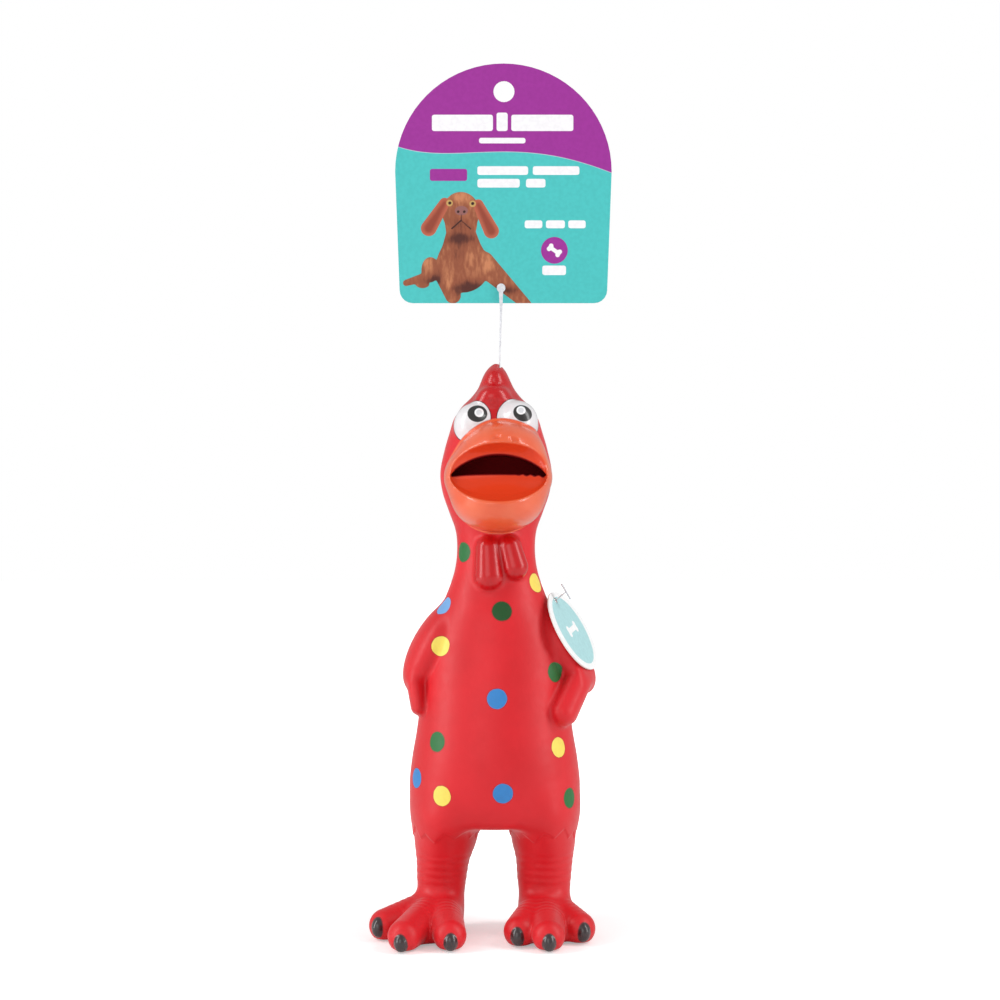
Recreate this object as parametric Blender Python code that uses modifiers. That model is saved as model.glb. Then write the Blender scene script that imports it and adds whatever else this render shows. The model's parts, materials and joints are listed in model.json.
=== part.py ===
"""A squeaky rubber chicken with its header card and swing tag.

The chicken is one hollow latex casting. Here it is cut into a torso, a head, a belly patch and two
legs, which turn or slide where the latex would bend. A sounder sits in the neck. A nylon pin joins
the comb to a printed card, and a second one holds a round tag on the shoulder.

Metres, +Z up. The chicken stands on z = 0 and faces -Y. Everything is built with the body's axis on
x = y = 0, and then moved so that the origin is under the middle of the object's bounding box.
"""

import math

import bmesh
import bpy
import numpy as np
from mathutils import Matrix, Vector

MM = 0.001

# Driving dimensions.
WALL = 2.2 * MM  # latex skin
LEG_WALL = 3.0 * MM
GAP = 0.3 * MM  # between separate solids
ORIGIN_TO_AXIS = Vector((1.986, 1.087, 0)) * MM  # from the box's middle to the body's axis

NECK_HINGE = Vector((0, 0, 115.5)) * MM
NECK_RADIUS = 22.0 * MM  # of the round seam between head and torso
NECK_SEAM_FLOOR = 119.5 * MM

LEG_HINGE_HEIGHT = 19.5 * MM
LEG_SEAM_RADIUS = 13.0 * MM
LEG_CENTRE_Y = 2.0 * MM

BELLY_CENTRE = Vector((0.5, 0, 76)) * MM
BELLY_HALF_WIDTH = 20.0 * MM
BELLY_HALF_HEIGHT = 26.0 * MM

# Sections from bottom to top: height, half width, depth in front of the axis, depth behind it (mm).
TORSO_SECTIONS = (
    (38.6, 25.0, 17.0, 17.0),
    (42.0, 29.5, 21.5, 21.0),
    (48.0, 32.0, 24.5, 24.0),
    (55.7, 32.7, 26.5, 26.0),
    (66.0, 31.9, 27.0, 26.5),
    (76.0, 30.4, 26.0, 25.8),
    (88.0, 29.8, 24.4, 25.0),
    (100.0, 29.6, 22.5, 24.0),
    (112.0, 27.5, 20.0, 22.0),
    (121.0, 23.5, 18.0, 19.5),
    (128.7, 19.0, 15.5, 16.0),
    (137.4, 15.7, 14.2, 14.8),
    (144.0, 14.8, 13.5, 14.0),
)
HEAD_SECTIONS = (
    (126.0, 20.0, 16.2, 17.0),
    (137.4, 15.7, 14.2, 14.8),
    (144.6, 14.8, 13.5, 14.0),
    (152.6, 15.4, 14.0, 14.5),
    (159.4, 17.8, 15.0, 15.5),
    (166.5, 20.2, 16.0, 17.0),
    (173.5, 21.0, 17.0, 18.0),
    (181.5, 19.5, 17.5, 18.5),
    (191.5, 15.6, 15.0, 17.0),
    (198.0, 12.0, 11.5, 14.0),
    (202.0, 8.0, 8.0, 10.0),
    (203.8, 3.0, 3.0, 4.0),
)
# Legs: height, centre x, half width, half depth (mm). The right leg is a little thicker.
LEFT_LEG_SECTIONS = (
    (-2.0, -20.5, 8.4, 9.4),
    (7.0, -20.5, 9.8, 10.4),
    (14.7, -20.5, 9.5, 9.8),
    (24.0, -20.2, 10.2, 10.5),
    (34.6, -19.4, 11.4, 12.0),
    (40.0, -18.6, 12.4, 14.0),
    (46.0, -17.6, 13.2, 16.0),
)
RIGHT_LEG_SECTIONS = (
    (-2.0, 18.6, 8.6, 9.4),
    (7.0, 18.6, 10.0, 10.4),
    (14.7, 18.6, 9.9, 9.8),
    (24.0, 18.6, 10.8, 10.5),
    (34.6, 18.4, 12.2, 12.0),
    (40.0, 17.8, 12.8, 14.0),
    (46.0, 17.2, 13.4, 16.0),
)
# Claw tips of each foot: x, y (mm).
LEFT_CLAWS = ((-45.5, -13.5), (-35.5, -32.5), (-17.0, -31.5))
RIGHT_CLAWS = ((7.6, -25.0), (19.4, -32.0), (32.6, -20.0))

LEG_HOLLOW_FLOOR = 12.0 * MM

# The wings lean out along the shoulder line, which is also the swing tag's slope.
SHOULDER_LEAN = math.radians(30.3)

# Sounder, a turned plastic whistle in the neck.
SOUNDER_BASE = 142.0 * MM
SOUNDER_LENGTH = 20.0 * MM
SOUNDER_RADIUS = 9.0 * MM
SOUNDER_BORE = 7.8 * MM
SOUNDER_RIB = 10.8 * MM
REED_LEDGE = 150.0 * MM
REED_PLATE_THICKNESS = 1.2 * MM
REED_LENGTH = 9.0 * MM
REED_WIDTH = 3.0 * MM
REED_THICKNESS = 0.35 * MM
REED_ROOT_Y = 4.2 * MM
REED_BASE = REED_LEDGE + REED_PLATE_THICKNESS + 2 * GAP

# Card, tag and their nylon pins.
COMB_BORE = Vector((1.2, 0, 210.8)) * MM
COMB_BORE_RADIUS = 0.9 * MM
PIN_SWING = math.radians(36)
PIN_HEAD = Vector((1.9, 0, 244.6)) * MM
PIN_HEAD_RADIUS = 1.65 * MM
CARD_CENTRE_X = 2.8 * MM
CARD_BOTTOM = 238.9 * MM
CARD_TOP = 330.1 * MM
CARD_SHOULDER = 289.0 * MM
CARD_HALF_WIDTH = 41.2 * MM
CARD_FOOT_HALF_WIDTH = 39.5 * MM
CARD_CORNER = 5.0 * MM
CARD_THICKNESS = 0.5 * MM
CARD_Y = 1.0 * MM
HANG_HOLE = Vector((3.0, 0, 319.4)) * MM
HANG_HOLE_RADIUS = 4.0 * MM

TAG_CENTRE = Vector((29.0, -2.0, 114.6)) * MM
TAG_RADIUS = 16.5 * MM
TAG_THICKNESS = 0.5 * MM
TAG_HOLE_OFFSET = 13.0 * MM
TAG_HOLE_RADIUS = 1.1 * MM
TAG_DOWN = Vector((math.sin(SHOULDER_LEAN), 0, -math.cos(SHOULDER_LEAN)))
TAG_TURN = math.radians(19.3)  # of the tag's face towards the front
TAG_NORMAL = Vector(
    (
        math.cos(TAG_TURN) * math.cos(SHOULDER_LEAN),
        -math.sin(TAG_TURN),
        math.cos(TAG_TURN) * math.sin(SHOULDER_LEAN),
    )
)

LATEX_RED = (0.68, 0.03, 0.035)
NYLON = (0.86, 0.88, 0.9)


# Scene and materials.


def clear_scene():
    for obj in list(bpy.data.objects):
        bpy.data.objects.remove(obj, do_unlink=True)


def collection(name):
    made = bpy.data.collections.new(name)
    bpy.context.scene.collection.children.link(made)
    return made


def material(name, colour, roughness, metallic=0.0):
    made = bpy.data.materials.new(name)
    made.use_nodes = True
    shader = made.node_tree.nodes["Principled BSDF"]
    shader.inputs["Base Color"].default_value = (*colour, 1)
    shader.inputs["Roughness"].default_value = roughness
    shader.inputs["Metallic"].default_value = metallic
    made.diffuse_color = (*colour, 1)
    return made


def new_object(name, mesh):
    """An object in the cutters' collection, until place() makes it a part."""
    mesh.shade_smooth()
    obj = bpy.data.objects.new(name, mesh)
    obj.hide_render = True
    obj.display_type = "WIRE"
    CUTTERS.objects.link(obj)
    return obj


def place(obj, finish, hinge=None):
    """Makes obj a part of the chicken, under the empty on its joint's axis."""
    CUTTERS.objects.unlink(obj)
    PARTS.objects.link(obj)
    obj.hide_render = False
    obj.display_type = "TEXTURED"
    obj.data.materials.append(finish)
    if hinge:
        obj.parent = hinge
        obj.matrix_parent_inverse = hinge.matrix_world.inverted()
    return obj


def move_onto_origin():
    for obj in bpy.data.objects:
        if obj.parent is None:
            obj.location += ORIGIN_TO_AXIS


def hinge_empty(name, point):
    made = bpy.data.objects.new(name, None)
    made.empty_display_size = 5 * MM
    made.location = point
    PARTS.objects.link(made)
    bpy.context.view_layer.update()
    return made


# Shapes.


def mesh_from(name, bm):
    bmesh.ops.recalc_face_normals(bm, faces=bm.faces)
    if bm.calc_volume(signed=True) < 0:
        bmesh.ops.reverse_faces(bm, faces=bm.faces)
    mesh = bpy.data.meshes.new(name)
    bm.to_mesh(mesh)
    bm.free()
    return new_object(name, mesh)


def boolean(target, other, operation="DIFFERENCE"):
    modifier = target.modifiers.new(f"{operation.lower()} {other.name}", "BOOLEAN")
    modifier.operation = operation
    modifier.solver = "EXACT"
    modifier.object = other
    return target


def smooth_values(sections, count):
    """Rows of the section table, at count even heights, joined by cubic curves."""
    table = np.array(sections) * MM
    heights = table[:, 0]
    slopes = np.gradient(table, heights, axis=0)
    rows = []
    for height in np.linspace(heights[0], heights[-1], count):
        i = min(np.searchsorted(heights, height, side="right") - 1, len(heights) - 2)
        step = heights[i + 1] - heights[i]
        t = (height - heights[i]) / step
        rows.append(
            (1 + 2 * t) * (1 - t) ** 2 * table[i]
            + t * (1 - t) ** 2 * step * slopes[i]
            + t * t * (3 - 2 * t) * table[i + 1]
            + t * t * (t - 1) * step * slopes[i + 1]
        )
    return rows


def oval_loft(name, rings, segments):
    """A closed body through horizontal ovals: centre x, centre y, height, half width, front, back."""
    bm = bmesh.new()
    angles = [2 * math.pi * i / segments for i in range(segments)]
    loops = []
    for x, y, z, half_width, front, back in rings:
        loops.append(
            [
                bm.verts.new(
                    (
                        x + half_width * math.cos(a),
                        y + (back if math.sin(a) > 0 else front) * math.sin(a),
                        z,
                    )
                )
                for a in angles
            ]
        )
    for lower, upper in zip(loops, loops[1:]):
        for i in range(segments):
            j = (i + 1) % segments
            bm.faces.new((lower[i], lower[j], upper[j], upper[i]))
    bm.faces.new(reversed(loops[0]))
    bm.faces.new(loops[-1])
    return mesh_from(name, bm)


def trunk_loft(name, sections, inset=0.0, rise=0.0, rings=16, segments=28):
    """The torso or the head, or with an inset the hollow inside it, whose floor is rise higher."""
    rows = smooth_values(sections, rings)
    floor = rows[0][0] + rise
    made = [(0, 0, z, w - inset, f - inset, b - inset) for z, w, f, b in rows if z > floor]
    _, w, f, b = rows[0]
    made.insert(0, (0, 0, floor, w - inset, f - inset, b - inset))
    return oval_loft(name, made, segments)


def leg_loft(name, sections, inset=0.0, floor=-2.0 * MM, rings=8, segments=20):
    rows = smooth_values(sections, rings)
    made = [
        (x, LEG_CENTRE_Y, z, w - inset, d - inset, d - inset)
        for z, x, w, d in rows
        if z >= floor
    ]
    return oval_loft(name, made, segments)


def ellipsoid(name, centre, radii, lean=0.0, segments=16, rings=8):
    """A centre and radii in mm; lean turns it about Y, top towards +X."""
    bm = bmesh.new()
    bmesh.ops.create_uvsphere(bm, u_segments=segments, v_segments=rings, radius=MM)
    shape = Matrix.Translation(Vector(centre) * MM) @ Matrix.Rotation(lean, 4, "Y")
    bm.transform(shape @ Matrix.Diagonal((*radii, 1)))
    return mesh_from(name, bm)


def box(name, low, high):
    bm = bmesh.new()
    size = [b - a for a, b in zip(low, high)]
    middle = [(a + b) / 2 for a, b in zip(low, high)]
    bmesh.ops.create_cube(bm, size=1)
    bm.transform(Matrix.Translation(middle) @ Matrix.Diagonal((*size, 1)))
    return mesh_from(name, bm)


def rod(name, start, end, radius, end_radius=None, segments=16, flat=1.0):
    """A cylinder or cone from start to end; flat scales it across, before it is turned."""
    run = Vector(end) - Vector(start)
    bm = bmesh.new()
    bmesh.ops.create_cone(
        bm,
        cap_ends=True,
        segments=segments,
        radius1=radius,
        radius2=radius if end_radius is None else end_radius,
        depth=run.length,
    )
    turn = run.to_track_quat("Z", "Y").to_matrix().to_4x4()
    middle = Matrix.Translation((Vector(start) + Vector(end)) / 2)
    bm.transform(middle @ turn @ Matrix.Diagonal((1, flat, 1, 1)))
    return mesh_from(name, bm)


def hull_of_balls(name, balls):
    """The convex hull of balls, each a centre and a radius in mm."""
    cloud = bmesh.new()
    for centre, radius in balls:
        bmesh.ops.create_uvsphere(
            cloud,
            u_segments=10,
            v_segments=6,
            radius=radius * MM,
            matrix=Matrix.Translation(Vector(centre) * MM),
        )
    bm = bmesh.new()
    for vert in cloud.verts:
        bm.verts.new(vert.co)
    cloud.free()
    hull = bmesh.ops.convex_hull(bm, input=bm.verts)
    inside = [item for item in hull["geom_interior"] if isinstance(item, bmesh.types.BMVert)]
    bmesh.ops.delete(bm, geom=inside, context="VERTS")
    return mesh_from(name, bm)


def outline_plate(name, loops, thickness, matrix):
    """A plate cut from flat loops of (x, y) points, the first the edge and the rest holes."""
    curve = bpy.data.curves.new(name, "CURVE")
    curve.dimensions = "2D"
    curve.fill_mode = "BOTH"
    curve.extrude = thickness / 2
    for points in loops:
        spline = curve.splines.new("POLY")
        spline.points.add(len(points) - 1)
        for point, (x, y) in zip(spline.points, points):
            point.co = (x, y, 0, 1)
        spline.use_cyclic_u = True
    flat = bpy.data.objects.new(name, curve)
    flat.matrix_world = matrix
    CUTTERS.objects.link(flat)
    bpy.context.view_layer.update()
    graph = bpy.context.evaluated_depsgraph_get()
    mesh = bpy.data.meshes.new_from_object(flat.evaluated_get(graph))
    bpy.data.objects.remove(flat, do_unlink=True)
    bm = bmesh.new()
    bm.from_mesh(mesh)
    bmesh.ops.remove_doubles(bm, verts=bm.verts, dist=0.01 * MM)
    bm.transform(matrix)
    bpy.data.meshes.remove(mesh)
    return mesh_from(name, bm)


def circle_points(x, y, radius, segments):
    steps = [2 * math.pi * i / segments for i in range(segments)]
    return [(x + radius * math.cos(a), y + radius * math.sin(a)) for a in steps]


def turned(name, profile, steps=24):
    """A body turned about Z from its closed profile of (radius, height) points."""
    mesh = bpy.data.meshes.new(name)
    count = len(profile)
    mesh.from_pydata(
        [(r, 0, z) for r, z in profile], [(i, (i + 1) % count) for i in range(count)], []
    )
    obj = new_object(name, mesh)
    screw = obj.modifiers.new("turn", "SCREW")
    screw.steps = steps
    screw.render_steps = steps
    screw.use_merge_vertices = True
    screw.merge_threshold = 0.0001
    screw.use_normal_calculate = True
    return obj


# The latex casting.


def beyond_seam(name, hinge, radius, floor):
    """Everything above the floor and outside a round seam about the hinge's X axis."""
    reach = 60 * MM
    block = box(
        name,
        (-reach, -reach, floor),
        (reach, reach, floor + 2 * reach),
    )
    return boolean(block, seam_cylinder(name + "_seam", hinge, radius))


def seam_cylinder(name, hinge, radius):
    reach = Vector((70 * MM, 0, 0))
    return rod(name, hinge - reach, hinge + reach, radius, segments=56)


def belly_prism(name, growth):
    """The oval column, running front to back, whose front end bounds the belly patch."""
    half_width = BELLY_HALF_WIDTH + growth
    column = rod(
        name,
        BELLY_CENTRE + Vector((0, -40 * MM, 0)),
        BELLY_CENTRE + Vector((0, -3 * MM, 0)),
        half_width,
        segments=40,
    )
    squeeze = Matrix.Diagonal((1, 1, (BELLY_HALF_HEIGHT + growth) / half_width, 1))
    middle = Matrix.Translation(BELLY_CENTRE)
    column.data.transform(middle @ squeeze @ middle.inverted())
    return column


def wing_lobes(side, name):
    """The upper lobe follows the shoulder line, and the lower one hangs below it."""
    lean = -side * SHOULDER_LEAN
    upper = ellipsoid(f"{name}_upper", (side * 23, 0, 105.5), (8.6, 13, 20.5), lean)
    lower = ellipsoid(f"{name}_lower", (side * 25, -1, 91), (6.6, 11, 13), side * 0.1)
    return upper, lower


def torso_skin():
    skin = trunk_loft("torso_skin", TORSO_SECTIONS)
    additions = [
        *wing_lobes(1, "right_wing"),
        *wing_lobes(-1, "left_wing"),
        ellipsoid("tail", (0, 23, 70), (9, 9, 10), segments=12),
        leg_loft("left_thigh", LEFT_LEG_SECTIONS, floor=20 * MM),
        leg_loft("right_thigh", RIGHT_LEG_SECTIONS, floor=20 * MM),
    ]
    for addition in additions:
        boolean(skin, addition, "UNION")
    boolean(skin, TORSO_HOLLOW)
    boolean(skin, LEFT_LEG_HOLLOW)
    boolean(skin, RIGHT_LEG_HOLLOW)
    leg_axis = Vector((0, LEG_CENTRE_Y, LEG_HINGE_HEIGHT))
    boolean(skin, seam_cylinder("leg_sockets", leg_axis, LEG_SEAM_RADIUS + GAP))
    boolean(skin, beyond_seam("above_neck_seam", NECK_HINGE, NECK_RADIUS, NECK_SEAM_FLOOR))
    boolean(skin, belly_prism("belly_window", GAP))
    way_in = rod(
        "tag_pin_hole", tag_point(TAG_HOLE_OFFSET, 2 * MM), tag_point(TAG_HOLE_OFFSET, -8 * MM),
        0.6 * MM,
    )
    boolean(skin, way_in)
    return place(skin, RED_LATEX)


def belly_skin(hinge):
    patch = trunk_loft("belly_skin", TORSO_SECTIONS)
    boolean(patch, TORSO_HOLLOW)
    boolean(patch, belly_prism("belly_outline", 0), "INTERSECT")
    return place(patch, RED_LATEX, hinge)


def head_skin(hinge):
    skin = trunk_loft("head_skin", HEAD_SECTIONS)
    additions = [
        ellipsoid("bill", (0.5, -14, 172.5), (20.5, 21, 21), segments=20, rings=12),
        ellipsoid("left_eye", (-8.2, -7.5, 192), (8.6, 9, 8.8)),
        ellipsoid("right_eye", (7.6, -8, 193.5), (8.8, 9, 8.8)),
        ellipsoid("comb_base", (0.5, 0, 200), (9, 13, 7)),
        ellipsoid("comb_front", (0.3, -8.5, 203.5), (4.8, 4.5, 5.5), segments=12),
        ellipsoid("comb_tip", (0.5, 0, 207.4), (4.6, 5.5, 7.9), segments=12),
        ellipsoid("comb_back", (0.5, 8, 204), (4.5, 5, 6), segments=12),
        ellipsoid("left_wattle", (-2.2, -14.5, 140), (5.1, 5, 9.2), segments=12),
        ellipsoid("right_wattle", (6.7, -14.3, 141.8), (4.5, 5, 7.5), segments=12),
    ]
    for addition in additions:
        boolean(skin, addition, "UNION")
    boolean(skin, ellipsoid("bill_front", (0.5, -39, 173), (17.5, 14, 10.5), segments=20))
    boolean(skin, trunk_loft("head_hollow", HEAD_SECTIONS, inset=WALL, rings=10, segments=20))
    boolean(skin, ellipsoid("bill_hollow", (0.5, -10, 172.5), (17, 12.6, 17)))
    boolean(skin, mouth_cutter())
    boolean(skin, seam_cylinder("neck_seam", NECK_HINGE, NECK_RADIUS + GAP))
    boolean(skin, comb_bore_cutter())
    boolean(skin, comb_notch_cutter())
    return place(skin, RED_LATEX, hinge)


def mouth_cutter():
    """The mouth: a straight lower edge 36 mm wide, with an arch 6.4 mm high over it."""
    steps = 14
    half_width, rise, middle, base = 18.0 * MM, 6.4 * MM, 0.5 * MM, 174.2 * MM
    arch = [
        (middle + half_width * (1 - 2 * i / steps), rise * math.sin(math.pi * i / steps) ** 0.8)
        for i in range(1, steps)
    ]
    loop = [(middle - half_width, 0.0), (middle + half_width, 0.0), *arch]
    stand_up = Matrix.Translation((0, -24 * MM, base)) @ Matrix.Rotation(math.pi / 2, 4, "X")
    return outline_plate("mouth", [loop], 34 * MM, stand_up)


def comb_bore_cutter():
    reach = Vector((0, 12 * MM, 0))
    return rod("comb_bore", COMB_BORE - reach, COMB_BORE + reach, COMB_BORE_RADIUS)


def comb_notch_cutter():
    """A fan about the bore, as wide as the pin swings, that opens at the comb's tip."""
    reach = 9 * MM
    side = PIN_SWING + math.radians(6)
    fan = [(0.0, 0.0)] + [
        (reach * math.sin(a), reach * math.cos(a)) for a in np.linspace(-side, side, 7)
    ]
    stand_up = Matrix.Translation(COMB_BORE) @ Matrix.Rotation(math.pi / 2, 4, "X")
    return outline_plate("comb_notch", [fan], 1.8 * MM, stand_up)


def toe(name, ankle_x, claw):
    """Three balls from the ankle to the claw, and their hull."""
    ankle = Vector((ankle_x, LEG_CENTRE_Y / MM, 0))
    tip = Vector((*claw, 0))
    run = tip - ankle
    heading = run.normalized()
    start = ankle + heading * 1.5
    middle = ankle + run * 0.52
    end = tip - heading * 4.5
    return hull_of_balls(
        name,
        [
            ((start.x, start.y, 11.0), 8.0),
            ((middle.x, middle.y, 6.6), 7.6),
            ((end.x, end.y, 4.6), 5.8),
        ],
    )


def leg_skin(name, sections, claws, hollow, hinge):
    skin = leg_loft(name, sections)
    ankle_x = sections[0][1]
    for number, claw in enumerate(claws, 1):
        boolean(skin, toe(f"{name}_toe_{number}", ankle_x, claw), "UNION")
        x, y = claw
        nail = ellipsoid(f"{name}_claw_{number}", (x, y + 2, 4.6), (2.6, 3, 3.8), segments=10, rings=6)
        boolean(skin, nail, "UNION")
    boolean(skin, hollow)
    axis = Vector((0, LEG_CENTRE_Y, LEG_HINGE_HEIGHT))
    boolean(skin, beyond_seam(f"{name}_above", axis, LEG_SEAM_RADIUS, LEG_HINGE_HEIGHT))
    boolean(skin, box(f"{name}_floor", (-0.07, -0.07, -0.02), (0.07, 0.07, 0)))
    return place(skin, RED_LATEX, hinge)


# The sounder.


def sounder_tube(hinge):
    """A tube with two grip ribs outside and a ledge for the reed plate inside."""
    base, top = SOUNDER_BASE, SOUNDER_BASE + SOUNDER_LENGTH
    outer, bore, rib = SOUNDER_RADIUS, SOUNDER_BORE, SOUNDER_RIB
    ledge_bore = 6.0 * MM
    profile = [(bore, top), (outer, top)]
    for middle in (base + 15 * MM, base + 5 * MM):
        profile += [
            (outer, middle + 1.8 * MM),
            (rib, middle + 0.8 * MM),
            (rib, middle - 0.8 * MM),
            (outer, middle - 1.8 * MM),
        ]
    profile += [
        (outer, base),
        (bore, base),
        (bore, REED_LEDGE - 1.0 * MM),
        (ledge_bore, REED_LEDGE - 1.0 * MM),
        (ledge_bore, REED_LEDGE),
        (bore, REED_LEDGE),
    ]
    return place(turned("sounder_tube", profile), WHITE_PLASTIC, hinge)


def sounder_lid(hinge):
    """A capped plug with a ring of sound holes."""
    top = SOUNDER_BASE + SOUNDER_LENGTH
    spigot = SOUNDER_BORE - GAP
    cap = rod(
        "sounder_lid",
        (0, 0, top + GAP),
        (0, 0, top + GAP + 1.4 * MM),
        SOUNDER_RADIUS,
        segments=24,
    )
    plug = rod("lid_plug", (0, 0, top - 2.5 * MM), (0, 0, top + 1 * MM), spigot, segments=24)
    boolean(cap, plug, "UNION")
    below, above = Vector((0, 0, top - 3 * MM)), Vector((0, 0, top + 3 * MM))
    hollow_top = Vector((0, 0, top + 0.4 * MM))
    boolean(cap, rod("lid_hollow", below, hollow_top, spigot - 1 * MM, segments=24))
    for i in range(6):
        angle = i * math.pi / 3
        out = Vector((math.cos(angle), math.sin(angle), 0)) * 3.8 * MM
        boolean(cap, rod(f"lid_hole_{i + 1}", below + out, above + out, 1 * MM, segments=10))
    return place(cap, WHITE_PLASTIC, hinge)


def reed_plate(hinge):
    """A disc on the tube's ledge, with a slot that the reed covers."""
    low = REED_LEDGE + GAP
    high = low + REED_PLATE_THICKNESS
    plate = rod("reed_plate", (0, 0, low), (0, 0, high), SOUNDER_BORE - GAP, segments=24)
    slot = box(
        "reed_slot",
        (-1.0 * MM, -3.6 * MM, low - MM),
        (1.0 * MM, 3.0 * MM, high + MM),
    )
    return place(boolean(plate, slot), BLACK_PLASTIC, hinge)


def reed_tongue(hinge):
    """A springy strip over the slot, held at its back end."""
    strip = box(
        "reed_tongue",
        (-REED_WIDTH / 2, REED_ROOT_Y - REED_LENGTH, REED_BASE),
        (REED_WIDTH / 2, REED_ROOT_Y, REED_BASE + REED_THICKNESS),
    )
    return place(strip, STEEL, hinge)


def reed_clamp(hinge):
    """A bevelled block on the plate, against the reed's root."""
    near = REED_ROOT_Y + GAP
    block = box(
        "reed_clamp",
        (-2.4 * MM, near, REED_BASE),
        (2.4 * MM, near + 1.9 * MM, REED_BASE + 2.0 * MM),
    )
    edges = block.modifiers.new("edges", "BEVEL")
    edges.width = 0.3 * MM
    edges.segments = 1
    return place(block, BLACK_PLASTIC, hinge)


# Card, tag and pins.


def card_outline(segments=36):
    """A tapering card with rounded feet, under half an ellipse."""
    rise = CARD_TOP - CARD_SHOULDER
    points = []
    for angle in np.linspace(0, math.pi, segments + 1):
        x = CARD_CENTRE_X + CARD_HALF_WIDTH * math.cos(angle)
        points.append((x, CARD_SHOULDER + rise * math.sin(angle)))
    for side in (-1, 1):
        x = CARD_CENTRE_X + side * (CARD_FOOT_HALF_WIDTH - CARD_CORNER)
        z = CARD_BOTTOM + CARD_CORNER
        start = math.pi if side < 0 else 1.5 * math.pi
        for angle in np.linspace(start, start + math.pi / 2, 6):
            points.append((x + CARD_CORNER * math.cos(angle), z + CARD_CORNER * math.sin(angle)))
    return points


def header_card(hinge):
    loops = [
        card_outline(),
        circle_points(HANG_HOLE.x, HANG_HOLE.z, HANG_HOLE_RADIUS, 24),
        circle_points(PIN_HEAD.x, PIN_HEAD.z, 0.9 * MM, 12),
    ]
    stand_up = Matrix.Translation((0, CARD_Y, 0)) @ Matrix.Rotation(math.pi / 2, 4, "X")
    return place(outline_plate("header_card", loops, CARD_THICKNESS, stand_up), CARD_PRINT, hinge)


def card_pin(hinge):
    """A cross bar in the comb, a filament, and a round head riveted through the card."""
    bar = Vector((0, 3 * MM, 0))
    pin = rod("card_pin", COMB_BORE - bar, COMB_BORE + bar, 0.5 * MM, segments=12)
    filament_top = PIN_HEAD - Vector((0, 0, 9 * MM))
    face, back = Vector((0, -0.4 * MM, 0)), Vector((0, 0.4 * MM, 0))
    rivet_back = Vector((0, CARD_Y + CARD_THICKNESS / 2 + GAP, 0))
    flange = Vector((0, 0.6 * MM, 0))
    pieces = [
        rod("pin_filament", COMB_BORE, filament_top, 0.25 * MM, 0.4 * MM, segments=10),
        rod("pin_strap", filament_top - Vector((0, 0, MM)), PIN_HEAD, 0.38 * MM, 0.9 * MM,
            segments=12, flat=0.35),
        rod("pin_button", PIN_HEAD + face, PIN_HEAD + back, PIN_HEAD_RADIUS, segments=20),
        rod("pin_stem", PIN_HEAD, PIN_HEAD + rivet_back + flange / 2, 0.5 * MM, segments=12),
        rod("pin_flange", PIN_HEAD + rivet_back, PIN_HEAD + rivet_back + flange,
            PIN_HEAD_RADIUS, segments=20),
    ]
    for piece in pieces:
        boolean(pin, piece, "UNION")
    return place(pin, WHITE_NYLON, hinge)


def tag_matrix():
    """The frame of the swing tag: local -Y down its slope, local +Z out of its face."""
    across = (-TAG_DOWN).cross(TAG_NORMAL)
    turn = Matrix((across, -TAG_DOWN, TAG_NORMAL)).transposed().to_4x4()
    return Matrix.Translation(TAG_CENTRE) @ turn


def tag_point(up, out):
    return TAG_CENTRE - TAG_DOWN * up + TAG_NORMAL * out


def swing_tag(hinge):
    loops = [
        circle_points(0, 0, TAG_RADIUS, 48),
        circle_points(0, TAG_HOLE_OFFSET, TAG_HOLE_RADIUS, 12),
    ]
    return place(outline_plate("swing_tag", loops, TAG_THICKNESS, tag_matrix()), TAG_PRINT, hinge)


def tag_pin():
    """A bar inside the skin, a filament through skin and tag, and a paddle outside the tag."""
    across = tag_matrix().to_3x3() @ Vector((1, 0, 0))
    inside = tag_point(TAG_HOLE_OFFSET, -6.2 * MM)
    behind = tag_point(TAG_HOLE_OFFSET, -0.3 * MM)
    outside = tag_point(TAG_HOLE_OFFSET + 1.0 * MM, 5.6 * MM)
    pin = rod("tag_pin", inside, tag_point(TAG_HOLE_OFFSET, 0), 0.25 * MM, segments=10)
    half_bar = across * 3 * MM
    half_paddle = TAG_DOWN * 3.4 * MM
    pieces = [
        rod("tag_pin_stem", behind, outside, 0.25 * MM, segments=10),
        rod("tag_pin_bar", inside - half_bar, inside + half_bar, 0.45 * MM, segments=10),
        rod("tag_pin_paddle", outside - half_paddle, outside + half_paddle, 0.9 * MM,
            segments=12, flat=0.45),
    ]
    for piece in pieces:
        boolean(pin, piece, "UNION")
    return place(pin, WHITE_NYLON)


clear_scene()
PARTS = collection("rubber_chicken")
CUTTERS = collection("cutters")

RED_LATEX = material("red_latex", LATEX_RED, 0.42)
WHITE_PLASTIC = material("white_plastic", (0.8, 0.8, 0.78), 0.4)
BLACK_PLASTIC = material("black_plastic", (0.03, 0.03, 0.035), 0.45)
STEEL = material("spring_steel", (0.6, 0.6, 0.62), 0.3, 1.0)
WHITE_NYLON = material("white_nylon", NYLON, 0.35)
CARD_PRINT = material("printed_card", (0.07, 0.54, 0.53), 0.5)
TAG_PRINT = material("printed_tag", (0.46, 0.73, 0.75), 0.5)

TORSO_HOLLOW = trunk_loft("torso_hollow", TORSO_SECTIONS, WALL, WALL, rings=12, segments=20)
LEFT_LEG_HOLLOW = leg_loft(
    "left_leg_hollow", LEFT_LEG_SECTIONS, LEG_WALL, LEG_HOLLOW_FLOOR, segments=16
)
RIGHT_LEG_HOLLOW = leg_loft(
    "right_leg_hollow", RIGHT_LEG_SECTIONS, LEG_WALL, LEG_HOLLOW_FLOOR, segments=16
)

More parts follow.
